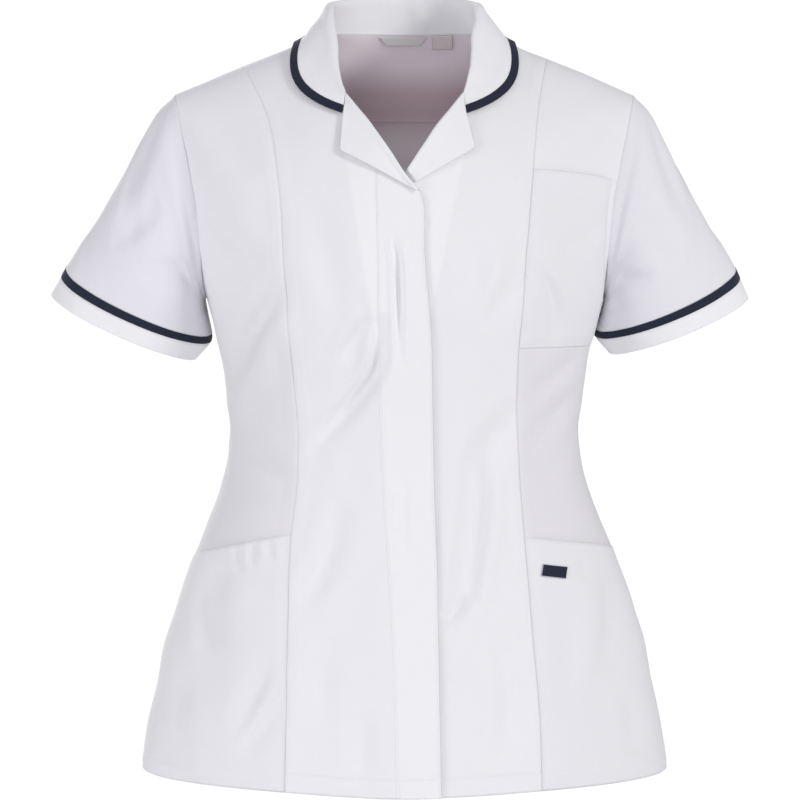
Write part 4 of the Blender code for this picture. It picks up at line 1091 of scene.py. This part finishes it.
def scaled_noise(tree, coordinates, scale, detail):
    """Noise with its own scale along each axis of the coordinates."""
    mapping = tree.nodes.new("ShaderNodeMapping")
    mapping.inputs["Scale"].default_value = scale
    noise = tree.nodes.new("ShaderNodeTexNoise")
    noise.inputs["Scale"].default_value = 1.0
    noise.inputs["Detail"].default_value = detail
    tree.links.new(coordinates, mapping.inputs["Vector"])
    tree.links.new(mapping.outputs["Vector"], noise.inputs["Vector"])
    return noise.outputs["Fac"]


def weave_position(tree):
    """Metres across and along the cloth, from the piece's own weave map."""
    weave = tree.nodes.new("ShaderNodeUVMap")
    weave.uv_map = "weave"
    split = tree.nodes.new("ShaderNodeSeparateXYZ")
    tree.links.new(weave.outputs["UV"], split.inputs["Vector"])
    return weave.outputs["UV"], split.outputs["X"], split.outputs["Y"]


def body_position(tree):
    """Metres to the wearer's left and up, on the whole garment."""
    body = tree.nodes.new("ShaderNodeTexCoord")
    split = tree.nodes.new("ShaderNodeSeparateXYZ")
    tree.links.new(body.outputs["Object"], split.inputs["Vector"])
    return split.outputs["X"], split.outputs["Z"]


def make_cloth_grain():
    """Yarns of a close plain weave, some thicker than others, and the cloth's fine crumple."""
    group, _, result = new_group("plain weave", (), ("Tone", "Height mm"))
    position, across, along = weave_position(group)
    warp = scaled_noise(group, position, WARP_CELLS, 2.0)
    weft = scaled_noise(group, position, WEFT_CELLS, 2.0)
    yarns = maths(group, "ADD", warp, weft)
    over = maths(group, "MULTIPLY", maths(group, "SINE", maths(group, "MULTIPLY", across, CROSSING_RATE)),
                 maths(group, "SINE", maths(group, "MULTIPLY", along, CROSSING_RATE)))
    body = group.nodes.new("ShaderNodeTexCoord")
    crumple = scaled_noise(group, body.outputs["Object"], CRUMPLE_CELLS, 3.0)
    crossings = maths(group, "MULTIPLY", over, CROSSING_HEIGHT)
    height = maths(group, "MULTIPLY_ADD", yarns, YARN_HEIGHT, crossings)
    height = maths(group, "MULTIPLY_ADD", crumple, CRUMPLE_HEIGHT, height)
    group.links.new(maths(group, "MULTIPLY", yarns, 0.5), result.inputs["Tone"])
    group.links.new(height, result.inputs["Height mm"])
    return group


def make_stitch_row():
    """A row of machine stitches at a place from an edge: the thread and the dent it makes."""
    group, given, result = new_group("row of stitches", ("Distance", "Run", "Place"), ("Thread", "Dent"))
    beyond = maths(group, "SUBTRACT", given.outputs["Distance"], given.outputs["Place"])
    away = maths(group, "ABSOLUTE", beyond)
    step = maths(group, "FRACT", maths(group, "MULTIPLY", given.outputs["Run"], STITCHES_IN_METRE))
    middle = maths(group, "ABSOLUTE", maths(group, "SUBTRACT", step, 0.5))
    thread = maths(group, "MULTIPLY", smooth_step(group, away, *THREAD_EDGE),
                   smooth_step(group, middle, *THREAD_END))
    group.links.new(thread, result.inputs["Thread"])
    group.links.new(smooth_step(group, away, *DENT_REACH), result.inputs["Dent"])
    return group


def attribute(tree, name):
    node = tree.nodes.new("ShaderNodeAttribute")
    node.attribute_name = name
    return node.outputs["Fac"]


def blend_colours(tree, share, first, second):
    node = tree.nodes.new("ShaderNodeMix")
    node.data_type = "RGBA"
    set_input(tree, node.inputs["Factor"], share)
    set_input(tree, node.inputs["A"], first)
    set_input(tree, node.inputs["B"], second)
    return node.outputs["Result"]


def start_material(name, surface):
    material = bpy.data.materials.new(name)
    material.use_nodes = True
    tree = material.node_tree
    shader = tree.nodes["Principled BSDF"]
    shader.inputs["Roughness"].default_value = surface.roughness
    shader.inputs["Sheen Weight"].default_value = surface.sheen
    shader.inputs["Sheen Roughness"].default_value = 0.5
    shader.inputs["Specular IOR Level"].default_value = surface.specular
    return material, tree, shader


def finish_material(tree, shader, colour, height_mm):
    bump = tree.nodes.new("ShaderNodeBump")
    bump.inputs["Distance"].default_value = 0.001
    tree.links.new(height_mm, bump.inputs["Height"])
    tree.links.new(bump.outputs["Normal"], shader.inputs["Normal"])
    tree.links.new(colour, shader.inputs["Base Color"])


cloth_grain = make_cloth_grain()
stitch_row = make_stitch_row()


def white_cloth(name, stitches, light=WHITE_LIGHT, deep=WHITE_DEEP, painted_shading=(), facing=None):
    """White cotton-blend cloth with rows of stitches: pairs of an edge and a distance from it.

    Painted shading is two heights and a colour, darker for painted shade, lighter for painted light: it
    shows below the first height and is gone above the second.
    Near the neck the facing behind the cloth makes it whiter, inward of a slanting line: how far
    out it lies at a height, and its slope.
    """
    material, tree, shader = start_material(name, WHITE_SURFACE)
    grain = tree.nodes.new("ShaderNodeGroup")
    grain.node_tree = cloth_grain
    _, across, along = weave_position(tree)
    colour = blend_colours(tree, grain.outputs["Tone"], deep, light)
    out, up = body_position(tree)
    # painted shade and painted light by height, over the cloth's own tone
    for low, high, painted_shade in painted_shading:
        colour = blend_colours(tree, smooth_step(tree, up, low, high), colour, painted_shade)
    if facing is not None:
        above = maths(tree, "ADD", up, -facing.height)
        line = maths(tree, "MULTIPLY_ADD", above, facing.slope, facing.out)
        inward = maths(tree, "SUBTRACT", maths(tree, "ABSOLUTE", out), line)
        zone = maths(tree, "MULTIPLY", smooth_step(tree, inward, *FACING_EDGE),
                     smooth_step(tree, maths(tree, "MULTIPLY", up, -1.0), *FACING_FADE))
        colour = blend_colours(tree, zone, colour, DOUBLED_LIGHT)
    height = grain.outputs["Height mm"]
    for edge, place in stitches:
        row = tree.nodes.new("ShaderNodeGroup")
        row.node_tree = stitch_row
        row.inputs["Place"].default_value = place
        tree.links.new(attribute(tree, f"from_{edge}"), row.inputs["Distance"])
        tree.links.new(along if edge in ("first", "second") else across, row.inputs["Run"])
        # painted shadow where the stitches dent the cloth
        painted_shade = maths(tree, "MULTIPLY", row.outputs["Dent"], DENT_PAINTED_SHADOW_SHARE)
        colour = blend_colours(tree, painted_shade, colour, DENT_PAINTED_SHADOW_COLOUR)
        colour = blend_colours(tree, row.outputs["Thread"], colour, THREAD_COLOUR)
        height = maths(tree, "MULTIPLY_ADD", row.outputs["Dent"], -DENT_DEPTH, height)
        height = maths(tree, "MULTIPLY_ADD", row.outputs["Thread"], THREAD_HEIGHT, height)
    finish_material(tree, shader, colour, height)
    return material


def navy_braid(name, border):
    """Navy woven braid; with a border it has a fine pale line round its edge."""
    material, tree, shader = start_material(name, BRAID_SURFACE)
    position, across, along = weave_position(tree)
    twill = maths(tree, "SINE", maths(tree, "MULTIPLY", maths(tree, "ADD", across, along), TWILL_RATE))
    fleck = scaled_noise(tree, position, BRAID_CELLS, 2.0)
    colour = blend_colours(tree, fleck, NAVY_DEEP, NAVY_LIGHT)
    lines = maths(tree, "MULTIPLY", twill, TWILL_HEIGHT)
    height = maths(tree, "MULTIPLY_ADD", fleck, BRAID_FLECK_HEIGHT, lines)
    if border:
        near = attribute(tree, "from_first")
        for label in Edges._fields[1:]:
            near = maths(tree, "MINIMUM", near, attribute(tree, f"from_{label}"))
        away = maths(tree, "ABSOLUTE", maths(tree, "SUBTRACT", near, BORDER_PLACE))
        line = smooth_step(tree, away, *BORDER_EDGE)
        colour = blend_colours(tree, line, colour, BORDER_COLOUR)
    finish_material(tree, shader, colour, height)
    return material


def woven_tape(name, tone):
    """Satin woven tape with slightly darker selvedges."""
    material, tree, shader = start_material(name, TAPE_SURFACE)
    position, _, along = weave_position(tree)
    ribs = maths(tree, "SINE", maths(tree, "MULTIPLY", along, RIB_RATE))
    fleck = scaled_noise(tree, position, TAPE_CELLS, 2.0)
    darker = tuple(SELVEDGE_SHADE * value for value in tone[:3]) + (1.0,)
    colour = blend_colours(tree, fleck, darker, tone)
    edge = maths(tree, "MINIMUM", attribute(tree, "from_first"), attribute(tree, "from_second"))
    colour = blend_colours(tree, smooth_step(tree, edge, *SELVEDGE), colour, darker)
    lines = maths(tree, "MULTIPLY", ribs, RIB_HEIGHT)
    finish_material(tree, shader, colour, maths(tree, "MULTIPLY_ADD", fleck, TAPE_FLECK_HEIGHT, lines))
    return material


# ---------------------------------------------------------------------- the relief
WALL = 0.0009             # thickness of the cloth that shows
SEAM_PULL = 0.00032       # how far a pressed seam draws the cloth in
SEAM_BREADTH = 0.0022
SEAM_ROLL = 0.00025       # how far the cloth stands up beside it
SEAM_ROLL_START = 0.0030
SEAM_ROLL_END = 0.0125
SOFT_PULL = 0.0003        # how far a seam that isn't pressed draws the cloth in
SOFT_BREADTH = 0.006
ARMHOLE_EASE = 0.0011     # how far the eased cloth at an armhole stands out again
ARMHOLE_EASE_START = 0.015  # height over the underarm at which it begins
ARMHOLE_EASE_RUN = 0.050
HEM_DEPTH = 0.0170        # from the hem's edge to its stitches
HEM_DENT = 0.0004
HEM_DRAG = 0.00035        # small drags of the cloth across the hem
HEM_DRAG_SIZE = 0.011
HEM_DRAG_REACH = 0.012
HEM_SEED = 31
STITCH_BREADTH = 0.0016
SHOULDER_FLAT = 0.0060    # from a piece's top edge to where its relief is full
CREASE_END = 0.0200       # how far from a side seam or armhole a crease has died away
BODY_SEED = 11            # the same unevenness on both sides of every seam of the body
BODY_CREASES = FRONT_CREASES + POCKET_CREASES + CHEST_POCKET_CREASES


def seam_relief(edges, sides=("first", "second"), soft=(), up=0.0):
    """The cloth dips into a seam and stands a little beside it; a soft seam is not pressed, and
    from the underarm up it is eased, so that it stands proud instead."""
    total = 0.0
    for side in sides:
        distance = getattr(edges, side)
        if side in soft:
            over = up - UNDERARM_HEIGHT - ARMHOLE_EASE_START
            proud = ARMHOLE_EASE * ease(over / ARMHOLE_EASE_RUN)
            total = total + (proud - SOFT_PULL) * np.exp(-((distance / SOFT_BREADTH) ** 2))
        else:
            roll = ease(distance / SEAM_ROLL_START) * ease((SEAM_ROLL_END - distance) / SEAM_ROLL_START)
            total = total - SEAM_PULL * np.exp(-((distance / SEAM_BREADTH) ** 2))
            total = total + SEAM_ROLL * roll
    return total


def hem_relief(edges, across):
    """The stitched hem: a dent along the stitches and small drags across the band."""
    from_stitches = (edges.bottom - HEM_DEPTH) / HEM_DRAG_REACH
    drag = soft_noise(across, 0 * across, HEM_DRAG_SIZE, HEM_SEED) * np.exp(-(from_stitches ** 2))
    return groove(edges.bottom, HEM_DEPTH, HEM_DENT, STITCH_BREADTH) + HEM_DRAG * drag


def fading(edges, soft):
    """From 0 at the soft edges to 1 a little way in: creases end before they reach a side seam."""
    distances = [getattr(edges, side) for side in soft]
    return ease(np.min(distances, axis=0) / CREASE_END) if distances else 1.0


def front_relief(points, share):
    out, height = points[:, 0], points[:, 2]
    return crease_rise(out, height, BODY_CREASES) * share + unevenness(out, height, BODY_SEED)


def cut_body_piece(name, kind, panel, material, lift=None, sides=("first", "second"), soft=()):
    """A panel of the front with its relief, ready to be sewn."""
    piece = Piece(kind, panel.point)
    height = front_relief(piece.points, fading(piece.edges, soft))
    height = height + seam_relief(piece.edges, sides, soft, piece.points[:, 2])
    height = height + hem_relief(piece.edges, piece.points[:, 0])
    height = height * ease(piece.edges.top / SHOULDER_FLAT)
    if lift is not None:
        height = height + lift(piece.points)
    return piece, height, name, material


def sew(piece, height, name, material, slot="white_cloth", wall=WALL, ring=False, inside=None):
    """Finishes a piece; its flat size and the area of cloth that shows are worked out here but not kept.
    """
    cloth = finish_piece(piece, f"cloth_{name}", height, material, slot, wall, ring, inside)
    width, length = (max(size, LEAST_SHEET) for size in piece.flat_size)
    min(piece.area, width * length)


# ------------------------------------------------------------ the cloths and tapes
Facing = namedtuple("Facing", "out height slope")
RIGHT_FACING = Facing(0.0487, -0.135, 0.164)
LEFT_FACING = Facing(0.0478, -0.135, 0.206)
EDGE_STITCHES = 0.0016    # from a placket's or pocket's edge to its stitches
TURN_STITCHES = 0.0022    # from the placket's line to its stitches
TOP_STITCHES = 0.0014     # from a cuff's or pocket's top edge to its stitches
YOKE_STITCHES = 0.0020
CUFF_STITCHES = 0.0190
HEM_ROW = ("bottom", HEM_DEPTH)
DOUBLED = {"light": DOUBLED_LIGHT, "deep": DOUBLED_DEEP}
# painted shade: the sleeves' cloth is a darker copy of the body's white
SLEEVE_PAINTED_SHADE_TONES = {"light": (0.835, 0.828, 0.855, 1.0), "deep": (0.795, 0.786, 0.818, 1.0)}
POCKET_TONES = {"light": (0.852, 0.845, 0.860, 1.0), "deep": (0.815, 0.807, 0.826, 1.0)}
# painted shade: the inner faces of the back get a pinkish tone for the warm shade inside the garment
INSIDE_PAINTED_SHADE_TONES = {"light": (0.93, 0.85, 0.90, 1.0), "deep": (0.89, 0.81, 0.86, 1.0)}
# painted shade: the side panels are darker from the waist down
SIDE_PAINTED_SHADE = ((-0.310, -0.190, (0.795, 0.783, 0.802, 1.0)),)
# painted shade inside the back of the neck: a dark band a little below the neckline, and painted light,
# lighter, lower down
INSIDE_PAINTED_SHADING = (
    (-0.048, -0.012, (0.62, 0.48, 0.52, 1.0)),
    (-0.100, -0.058, (0.93, 0.86, 0.88, 1.0)),
)
whites = {
    "front_right": white_cloth("white_front_right", (HEM_ROW,), facing=RIGHT_FACING),
    "front_left": white_cloth("white_front_left", (HEM_ROW,), facing=LEFT_FACING),
    "placket": white_cloth(
        "white_placket", (HEM_ROW, ("first", TURN_STITCHES), ("second", EDGE_STITCHES)), **DOUBLED),
    # the side panels' cloth, with painted shade from the waist down
    "side": white_cloth("white_side", (HEM_ROW,), painted_shading=SIDE_PAINTED_SHADE),
    "back": white_cloth("white_back", (("top", YOKE_STITCHES), HEM_ROW)),
    "yoke": white_cloth("white_yoke", (("bottom", YOKE_STITCHES),)),
    # the sleeves' cloth, darkened as painted shade
    "sleeve": white_cloth("white_sleeve_painted_shade", (), **SLEEVE_PAINTED_SHADE_TONES),
    "cuff": white_cloth("white_cuff", (("top", TOP_STITCHES), ("bottom", CUFF_STITCHES)), **DOUBLED),
    "collar": white_cloth("white_collar", (), **DOUBLED),
    "lapel": white_cloth("white_lapel", (), **DOUBLED),
    "pocket": white_cloth(
        "white_pocket",
        (("top", TOP_STITCHES), ("first", EDGE_STITCHES), ("second", EDGE_STITCHES)),
        **POCKET_TONES),
    # the back's inner faces: pinkish painted shade, with a painted dark band below the neck
    "inside": white_cloth("white_inside", (), painted_shading=INSIDE_PAINTED_SHADING, **INSIDE_PAINTED_SHADE_TONES),
}
braid = navy_braid("navy_braid", border=False)
label_braid = navy_braid("navy_label", border=True)
grey_tape = woven_tape("grey_tape", (0.95, 0.93, 0.92, 1.0))
beige_tab = woven_tape("beige_tab", (0.92, 0.85, 0.83, 1.0))

# ---------------------------------------------------------------------- the pieces
LEAST_SHEET = 0.0101      # the least side that a flat size is given
PLACKET_OVER = 0.0001     # the placket lies this far over the edge of the front it turns from
POCKET_EDGE_LIFT = 0.00035
POCKET_LIFT = 0.0013      # how much further out a pocket stands inside its stitches
POCKET_LIFT_RUN = 0.012
SIDE_LIFT_SHARE = 0.35    # how much more slowly it rises from the side seam
POCKET_GAPE = 0.0016      # how far its mouth stands open at most
GAPE_DEPTH = 0.014
GAPE_POWER = 1.2
GAPE_END = 0.060          # from the side seam to where the mouth is fully open
POCKET_TOP_HEM = 0.0150
POCKET_TOP_DENT = 0.00012
POCKET_HEM_GAP = 0.002    # from the hem of the front to the pocket's own
SLEEVE_LENGTH = 0.20      # metres in which a sleeve's creases and unevenness are laid out
SLEEVE_ROUND = 0.33
SLEEVE_LUMPS = (0.06, 0.10)
SLEEVE_SEED = 71
CUFF_DENT = 0.0003
CUFF_DENT_BREADTH = 0.0012
COLLAR_SECTIONS = 45
COLLAR_STEPS = 30         # points down each section
COLLAR_WRINKLE = 0.0007   # height and size of the collar's wrinkles
COLLAR_WRINKLE_SIZE = 0.017
COLLAR_WRINKLE_END = 0.008
COLLAR_SEED = 5
LAPEL_SECTIONS = 17
LAPEL_STEPS = 24
LAPEL_WRINKLE = 0.0003
LAPEL_WRINKLE_SIZE = 0.020
LAPEL_SEED = 8
TRIM_WALL = 0.0014
LABEL_LIFT = 0.0012       # from the pocket's face to the label's
LABEL_WALL = 0.0008
TAPE_GAP = 0.0010         # from the inner face of the back to the tapes
TAPE_WALL = 0.0007


def placket_lift(points):
    return overlap_lift(points) + PLACKET_OVER


def sew_fronts():
    right = Panel(princess_seam(RIGHT), right_front_edge, front_shoulder)
    left = Panel(left_front_edge, princess_seam(LEFT), front_shoulder)
    placket = Panel(
        lambda height: front_angle(placket_line(height) + PLACKET_GAP, height),
        lambda height: front_angle(placket_edge(height), height),
        placket_top,
        crowd=PLAIN_ROWS,
    )
    for name, panel, lift, sides in (
        ("front_right", right, overlap_lift, ("first",)),
        ("front_left", left, None, ("second",)),
        ("placket", placket, placket_lift, ()),
    ):
        sew(*cut_body_piece(name, name, panel, whites[name], lift, sides))


def sew_side_fronts():
    for side, word in SIDES:
        outer = side_edge(side, front_armhole, front_angle, behind=False)
        seam = princess_seam(side)
        edges = (seam, outer) if side == LEFT else (outer, seam)
        panel = Panel(*edges, front_shoulder)
        soft = ("second",) if side == LEFT else ("first",)
        sew(*cut_body_piece(f"side_front_{word}", "side_front", panel, whites["side"], soft=soft))
        if side == LEFT:
            sew_pocket(
                "chest_pocket_left", panel, (), CHEST_POCKET_TOP, CHEST_POCKET_BOTTOM, ARMHOLE_MARGIN)
            sew_pocket("pocket_left", panel, soft, LEFT_POCKET_TOP)
        else:
            sew_pocket("pocket_right", panel, soft, RIGHT_POCKET_TOP[::-1])


def sew_pocket(name, panel, soft, top, bottom=None, far=PATCH_MARGIN):
    """A pocket on its panel's own surface, moved out; top and bottom are heights at its edges.

    Towards a soft side, which is the side seam, it rises slowly and its mouth closes.
    """
    def surface(across, along):
        across = PATCH_MARGIN + (1 - far - PATCH_MARGIN) * across
        first = panel.along_at(across, top[0] + (top[1] - top[0]) * across)
        last = 1 - PATCH_MARGIN * PATCH_HEM_SHARE + 0 * across
        if bottom is not None:
            last = panel.along_at(across, bottom[0] + (bottom[1] - bottom[0]) * across)
        return panel.point(across, first + (last - first) * along)

    piece = Piece("pocket", surface)
    edges = piece.edges
    gape = POCKET_GAPE * np.exp(-edges.top / GAPE_DEPTH) * np.sin(math.pi * piece.across) ** GAPE_POWER
    from_stitches = np.minimum(np.minimum(edges.first, edges.second), edges.bottom)
    for side in soft:
        from_stitches = np.minimum(from_stitches, SIDE_LIFT_SHARE * getattr(edges, side))
        gape = gape * ease(getattr(edges, side) / GAPE_END)
    height = front_relief(piece.points, fading(edges, soft)) + POCKET_EDGE_LIFT + gape
    height = height + POCKET_LIFT * ease(from_stitches / POCKET_LIFT_RUN)
    height = height + groove(edges.top, POCKET_TOP_HEM, POCKET_TOP_DENT, STITCH_BREADTH)
    if bottom is None:
        to_hem = edges._replace(bottom=edges.bottom + POCKET_HEM_GAP)
        height = height + hem_relief(to_hem, piece.points[:, 0])
    sew(piece, height, name, whites["pocket"])


def sew_back():
    left = side_edge(LEFT, back_armhole, back_angle, behind=True)
    right = side_edge(RIGHT, back_armhole, back_angle, behind=True)
    side_seams = ("first", "second")

    def yoke_top(out):
        return np.where(np.abs(out) < NECK_SIDE_OUT, back_neck(out), back_shoulder(out))

    for name, kind, panel, across_seam in (
        ("back_yoke", "yoke", Panel(left, right, yoke_top, yoke_seam), "bottom"),
        ("back", "back", Panel(left, right, yoke_seam, crowd=PLAIN_ROWS), "top"),
    ):
        piece = Piece(kind, panel.point)
        out, height = piece.points[:, 0], piece.points[:, 2]
        rise = crease_rise(out, height, BACK_CREASES) * fading(piece.edges, side_seams)
        rise = rise + unevenness(out, height, BODY_SEED)
        rise = rise + seam_relief(piece.edges, (across_seam, *side_seams), side_seams, height)
        if kind == "back":
            rise = rise + hem_relief(piece.edges, out)
        else:
            rise = rise * ease(piece.edges.top / SHOULDER_FLAT)
        # the inner faces get the inside cloth with its painted shade
        sew(piece, rise, name, whites[kind], inside=whites["inside"])


def sew_sleeves():
    for side, word in SIDES:
        for kind, start, end, lift, material, slot in (
            ("sleeve", 0.0, TRIM_START, 0.0, whites["sleeve"], "white_cloth"),
            ("sleeve_trim", TRIM_START, TRIM_END, TRIM_PROUD, braid, "navy_trim"),
            ("cuff", TRIM_END, 1.0, 0.0, whites["cuff"], "white_cloth"),
        ):
            def surface(across, along):
                return sleeve_point(side, across, start + (end - start) * along)

            piece = Piece(kind, surface)
            turn = np.mod(-side * piece.across + 0.5, 1.0) - 0.5
            up = (1 - start - (end - start) * piece.along) * SLEEVE_LENGTH
            rise = crease_rise(turn * SLEEVE_ROUND, up, SLEEVE_CREASES[side])
            lumps_across = SLEEVE_LUMPS[0] * np.cos(2 * math.pi * turn)
            lumps_up = up + SLEEVE_LUMPS[1] * np.sin(2 * math.pi * turn)
            rise = rise + unevenness(lumps_across, lumps_up, SLEEVE_SEED + side)
            if kind == "sleeve":
                out, height = piece.points[:, 0], piece.points[:, 2]
                share = fading(piece.edges, ("top",))
                rise = rise * share + unevenness(out, height, BODY_SEED) * (1 - share)
                rise = rise + seam_relief(piece.edges, ("top",), ("top",), height)
            if kind == "cuff":
                rise = rise + groove(piece.edges.top, TOP_STITCHES, CUFF_DENT, CUFF_DENT_BREADTH)
            sew(piece, rise + lift, f"{kind}_{word}", material, slot, ring=True)


def sew_collar():
    places = np.linspace(0, 1, COLLAR_SECTIONS)
    sections = [collar_section((1 - 2 * place) * (1 - GORGE_GAP)) for place in places]
    leaf = Loft(sections, COLLAR_STEPS)
    shares = trim_shares(sections)

    def upper(across, along):
        return leaf(across, along * np.interp(across, places, shares))

    def lower(across, along):
        last = np.interp(across, places, shares)
        return leaf(across, last + (1 - last) * along)

    piece = Piece("collar", upper)
    wrinkles = COLLAR_WRINKLE * soft_noise(*piece.weave.T, COLLAR_WRINKLE_SIZE, COLLAR_SEED)
    for distance in (piece.edges.top, piece.edges.bottom):
        wrinkles = wrinkles * ease(distance / COLLAR_WRINKLE_END)
    sew(piece, wrinkles, "collar", whites["collar"])
    piece = Piece("collar_trim", lower)
    lift = np.full(len(piece.across), TRIM_PROUD)
    sew(piece, lift, "collar_trim", braid, "navy_trim", wall=TRIM_WALL)


def trim_shares(sections):
    """Share of the way down each of the collar's sections at which the trim begins."""
    shares = []
    for section in sections:
        steps = np.linalg.norm(np.diff(section, axis=0), axis=1)
        shares.append(steps[:-1].sum() / steps.sum())
    return shares


def sew_lapels():
    for side, word in SIDES:
        reach = LAPELS[side].reach - LAPEL_TOP_GAP
        places = np.linspace(0, 1, LAPEL_SECTIONS)
        if side == LEFT:
            places = np.linspace(1, 0, LAPEL_SECTIONS)
        sections = [lapel_section(side, LAPEL_TOP_GAP + reach * place) for place in places]
        piece = Piece("lapel", Loft(sections, LAPEL_STEPS))
        wrinkles = LAPEL_WRINKLE * soft_noise(*piece.weave.T, LAPEL_WRINKLE_SIZE, LAPEL_SEED + side)
        sew(piece, wrinkles, f"lapel_{word}", whites["lapel"])


def sew_labels():
    def on_pocket(across, along):
        right = (across - 0.5) * POCKET_LABEL_SIZE[0]
        up = (0.5 - along) * POCKET_LABEL_SIZE[1]
        turn = POCKET_LABEL_TILT
        out = POCKET_LABEL_CENTRE[0] + right * math.cos(turn) - up * math.sin(turn)
        height = POCKET_LABEL_CENTRE[1] + right * math.sin(turn) + up * math.cos(turn)
        return body_point(front_angle(out, height), height)

    piece = Piece("label", on_pocket)
    lift = front_relief(piece.points, 1.0) + POCKET_EDGE_LIFT + POCKET_LIFT + LABEL_LIFT
    sew(piece, lift, "pocket_label", label_braid, "navy_trim", wall=LABEL_WALL)
    for name, top, bottom, material in (
        ("neck_tape", NECK_TAPE_TOP, NECK_TAPE_BOTTOM, grey_tape),
        ("size_tab", SIZE_TAB_TOP, SIZE_TAB_BOTTOM, beige_tab),
    ):
        def inside_back(across, along):
            left, right, height = (start + (end - start) * along for start, end in zip(top, bottom))
            return place_on(left + (right - left) * across, height, np.array(False))[0]

        piece = Piece("tape", inside_back)
        lift = np.full(len(piece.across), -(WALL + TAPE_GAP))
        sew(piece, lift, name, material, "woven_tape", wall=TAPE_WALL)


# -------------------------------------------------------------- light, floor, camera
Lamp = namedtuple("Lamp", "name place target size power colour")
LAMPS = (
    Lamp("key", (2.5, -1.9, 1.0), (0.0, 0.0, -0.35), 0.8, 40.0, (1.0, 0.995, 0.985)),
    Lamp("fill", (-2.6, -1.6, -0.1), (0.0, 0.0, -0.35), 1.1, 22.0, (0.985, 0.985, 1.0)),
    Lamp("front", (-0.3, -3.3, -0.3), (0.0, 0.0, -0.35), 1.2, 18.0, (0.99, 0.99, 1.0)),
    Lamp("behind", (-1.1, 2.9, 0.8), (0.0, 0.0, -0.30), 0.9, 55.0, (1.0, 0.99, 0.98)),
)
SURROUNDINGS = ((0.93, 0.93, 1.0, 1.0), 0.45)      # colour and strength of the light all round
BACKDROP = ((1.0, 1.0, 1.0, 1.0), 1.05)            # what the camera sees behind the garment
FLOOR_HEIGHT = -1.16
FLOOR_RADIUS = 2.4
FLOOR_FADE = (0.7, 2.2)                            # distances over which the floor fades out
FLOOR_COLOUR = (0.90, 0.90, 0.91, 1.0)
LENS = 145.4
CAMERA_PLACE = (-0.004, -3.0, -0.16)
CAMERA_DIP = math.atan2(0.17, 3.0)


def hang_lamp(lamp):
    light = bpy.data.lights.new(lamp.name, "AREA")
    light.shape = "SQUARE"
    light.size = lamp.size
    light.energy = lamp.power
    light.color = lamp.colour
    holder = bpy.data.objects.new(lamp.name, light)
    bpy.context.scene.collection.objects.link(holder)
    holder.location = lamp.place
    way = Vector(lamp.target) - Vector(lamp.place)
    holder.rotation_euler = way.to_track_quat("-Z", "Y").to_euler()


def set_up_world():
    """One light for the garment and another for what the camera sees behind it."""
    world = bpy.data.worlds.new("studio")
    bpy.context.scene.world = world
    world.use_nodes = True
    tree = world.node_tree
    seen = tree.nodes.new("ShaderNodeLightPath")
    mix = tree.nodes.new("ShaderNodeMixShader")
    tree.links.new(seen.outputs["Is Camera Ray"], mix.inputs["Fac"])
    backgrounds = (tree.nodes["Background"], tree.nodes.new("ShaderNodeBackground"))
    for socket, (node, (colour, strength)) in enumerate(zip(backgrounds, (SURROUNDINGS, BACKDROP)), 1):
        node.inputs["Color"].default_value = colour
        node.inputs["Strength"].default_value = strength
        tree.links.new(node.outputs[0], mix.inputs[socket])
    tree.links.new(mix.outputs[0], tree.nodes["World Output"].inputs["Surface"])


def lay_floor():
    """A pale round floor that fades out towards its rim."""
    bpy.ops.mesh.primitive_circle_add(
        vertices=96, radius=FLOOR_RADIUS, fill_type="NGON", location=(0.0, 0.0, FLOOR_HEIGHT))
    floor = bpy.context.active_object
    floor.name = "floor"
    paint = bpy.data.materials.new("pale_floor")
    paint.use_nodes = True
    tree = paint.node_tree
    shader = tree.nodes["Principled BSDF"]
    shader.inputs["Base Color"].default_value = FLOOR_COLOUR
    shader.inputs["Roughness"].default_value = 0.9
    place = tree.nodes.new("ShaderNodeTexCoord")
    reach = tree.nodes.new("ShaderNodeVectorMath")
    reach.operation = "LENGTH"
    tree.links.new(place.outputs["Object"], reach.inputs[0])
    fade = smooth_step(tree, reach.outputs["Value"], *FLOOR_FADE)
    tree.links.new(fade, shader.inputs["Alpha"])
    floor.data.materials.append(paint)


def set_up_camera():
    camera = bpy.data.cameras.new("camera")
    camera.sensor_width = 36.0
    camera.lens = LENS
    seat = bpy.data.objects.new("camera", camera)
    bpy.context.scene.collection.objects.link(seat)
    seat.location = CAMERA_PLACE
    seat.rotation_euler = (math.radians(90.0) - CAMERA_DIP, 0.0, 0.0)
    bpy.context.scene.camera = seat


sew_fronts()
sew_side_fronts()
sew_back()
sew_sleeves()
sew_collar()
sew_lapels()
sew_labels()
set_up_world()
for lamp in LAMPS:
    hang_lamp(lamp)
lay_floor()
set_up_camera()
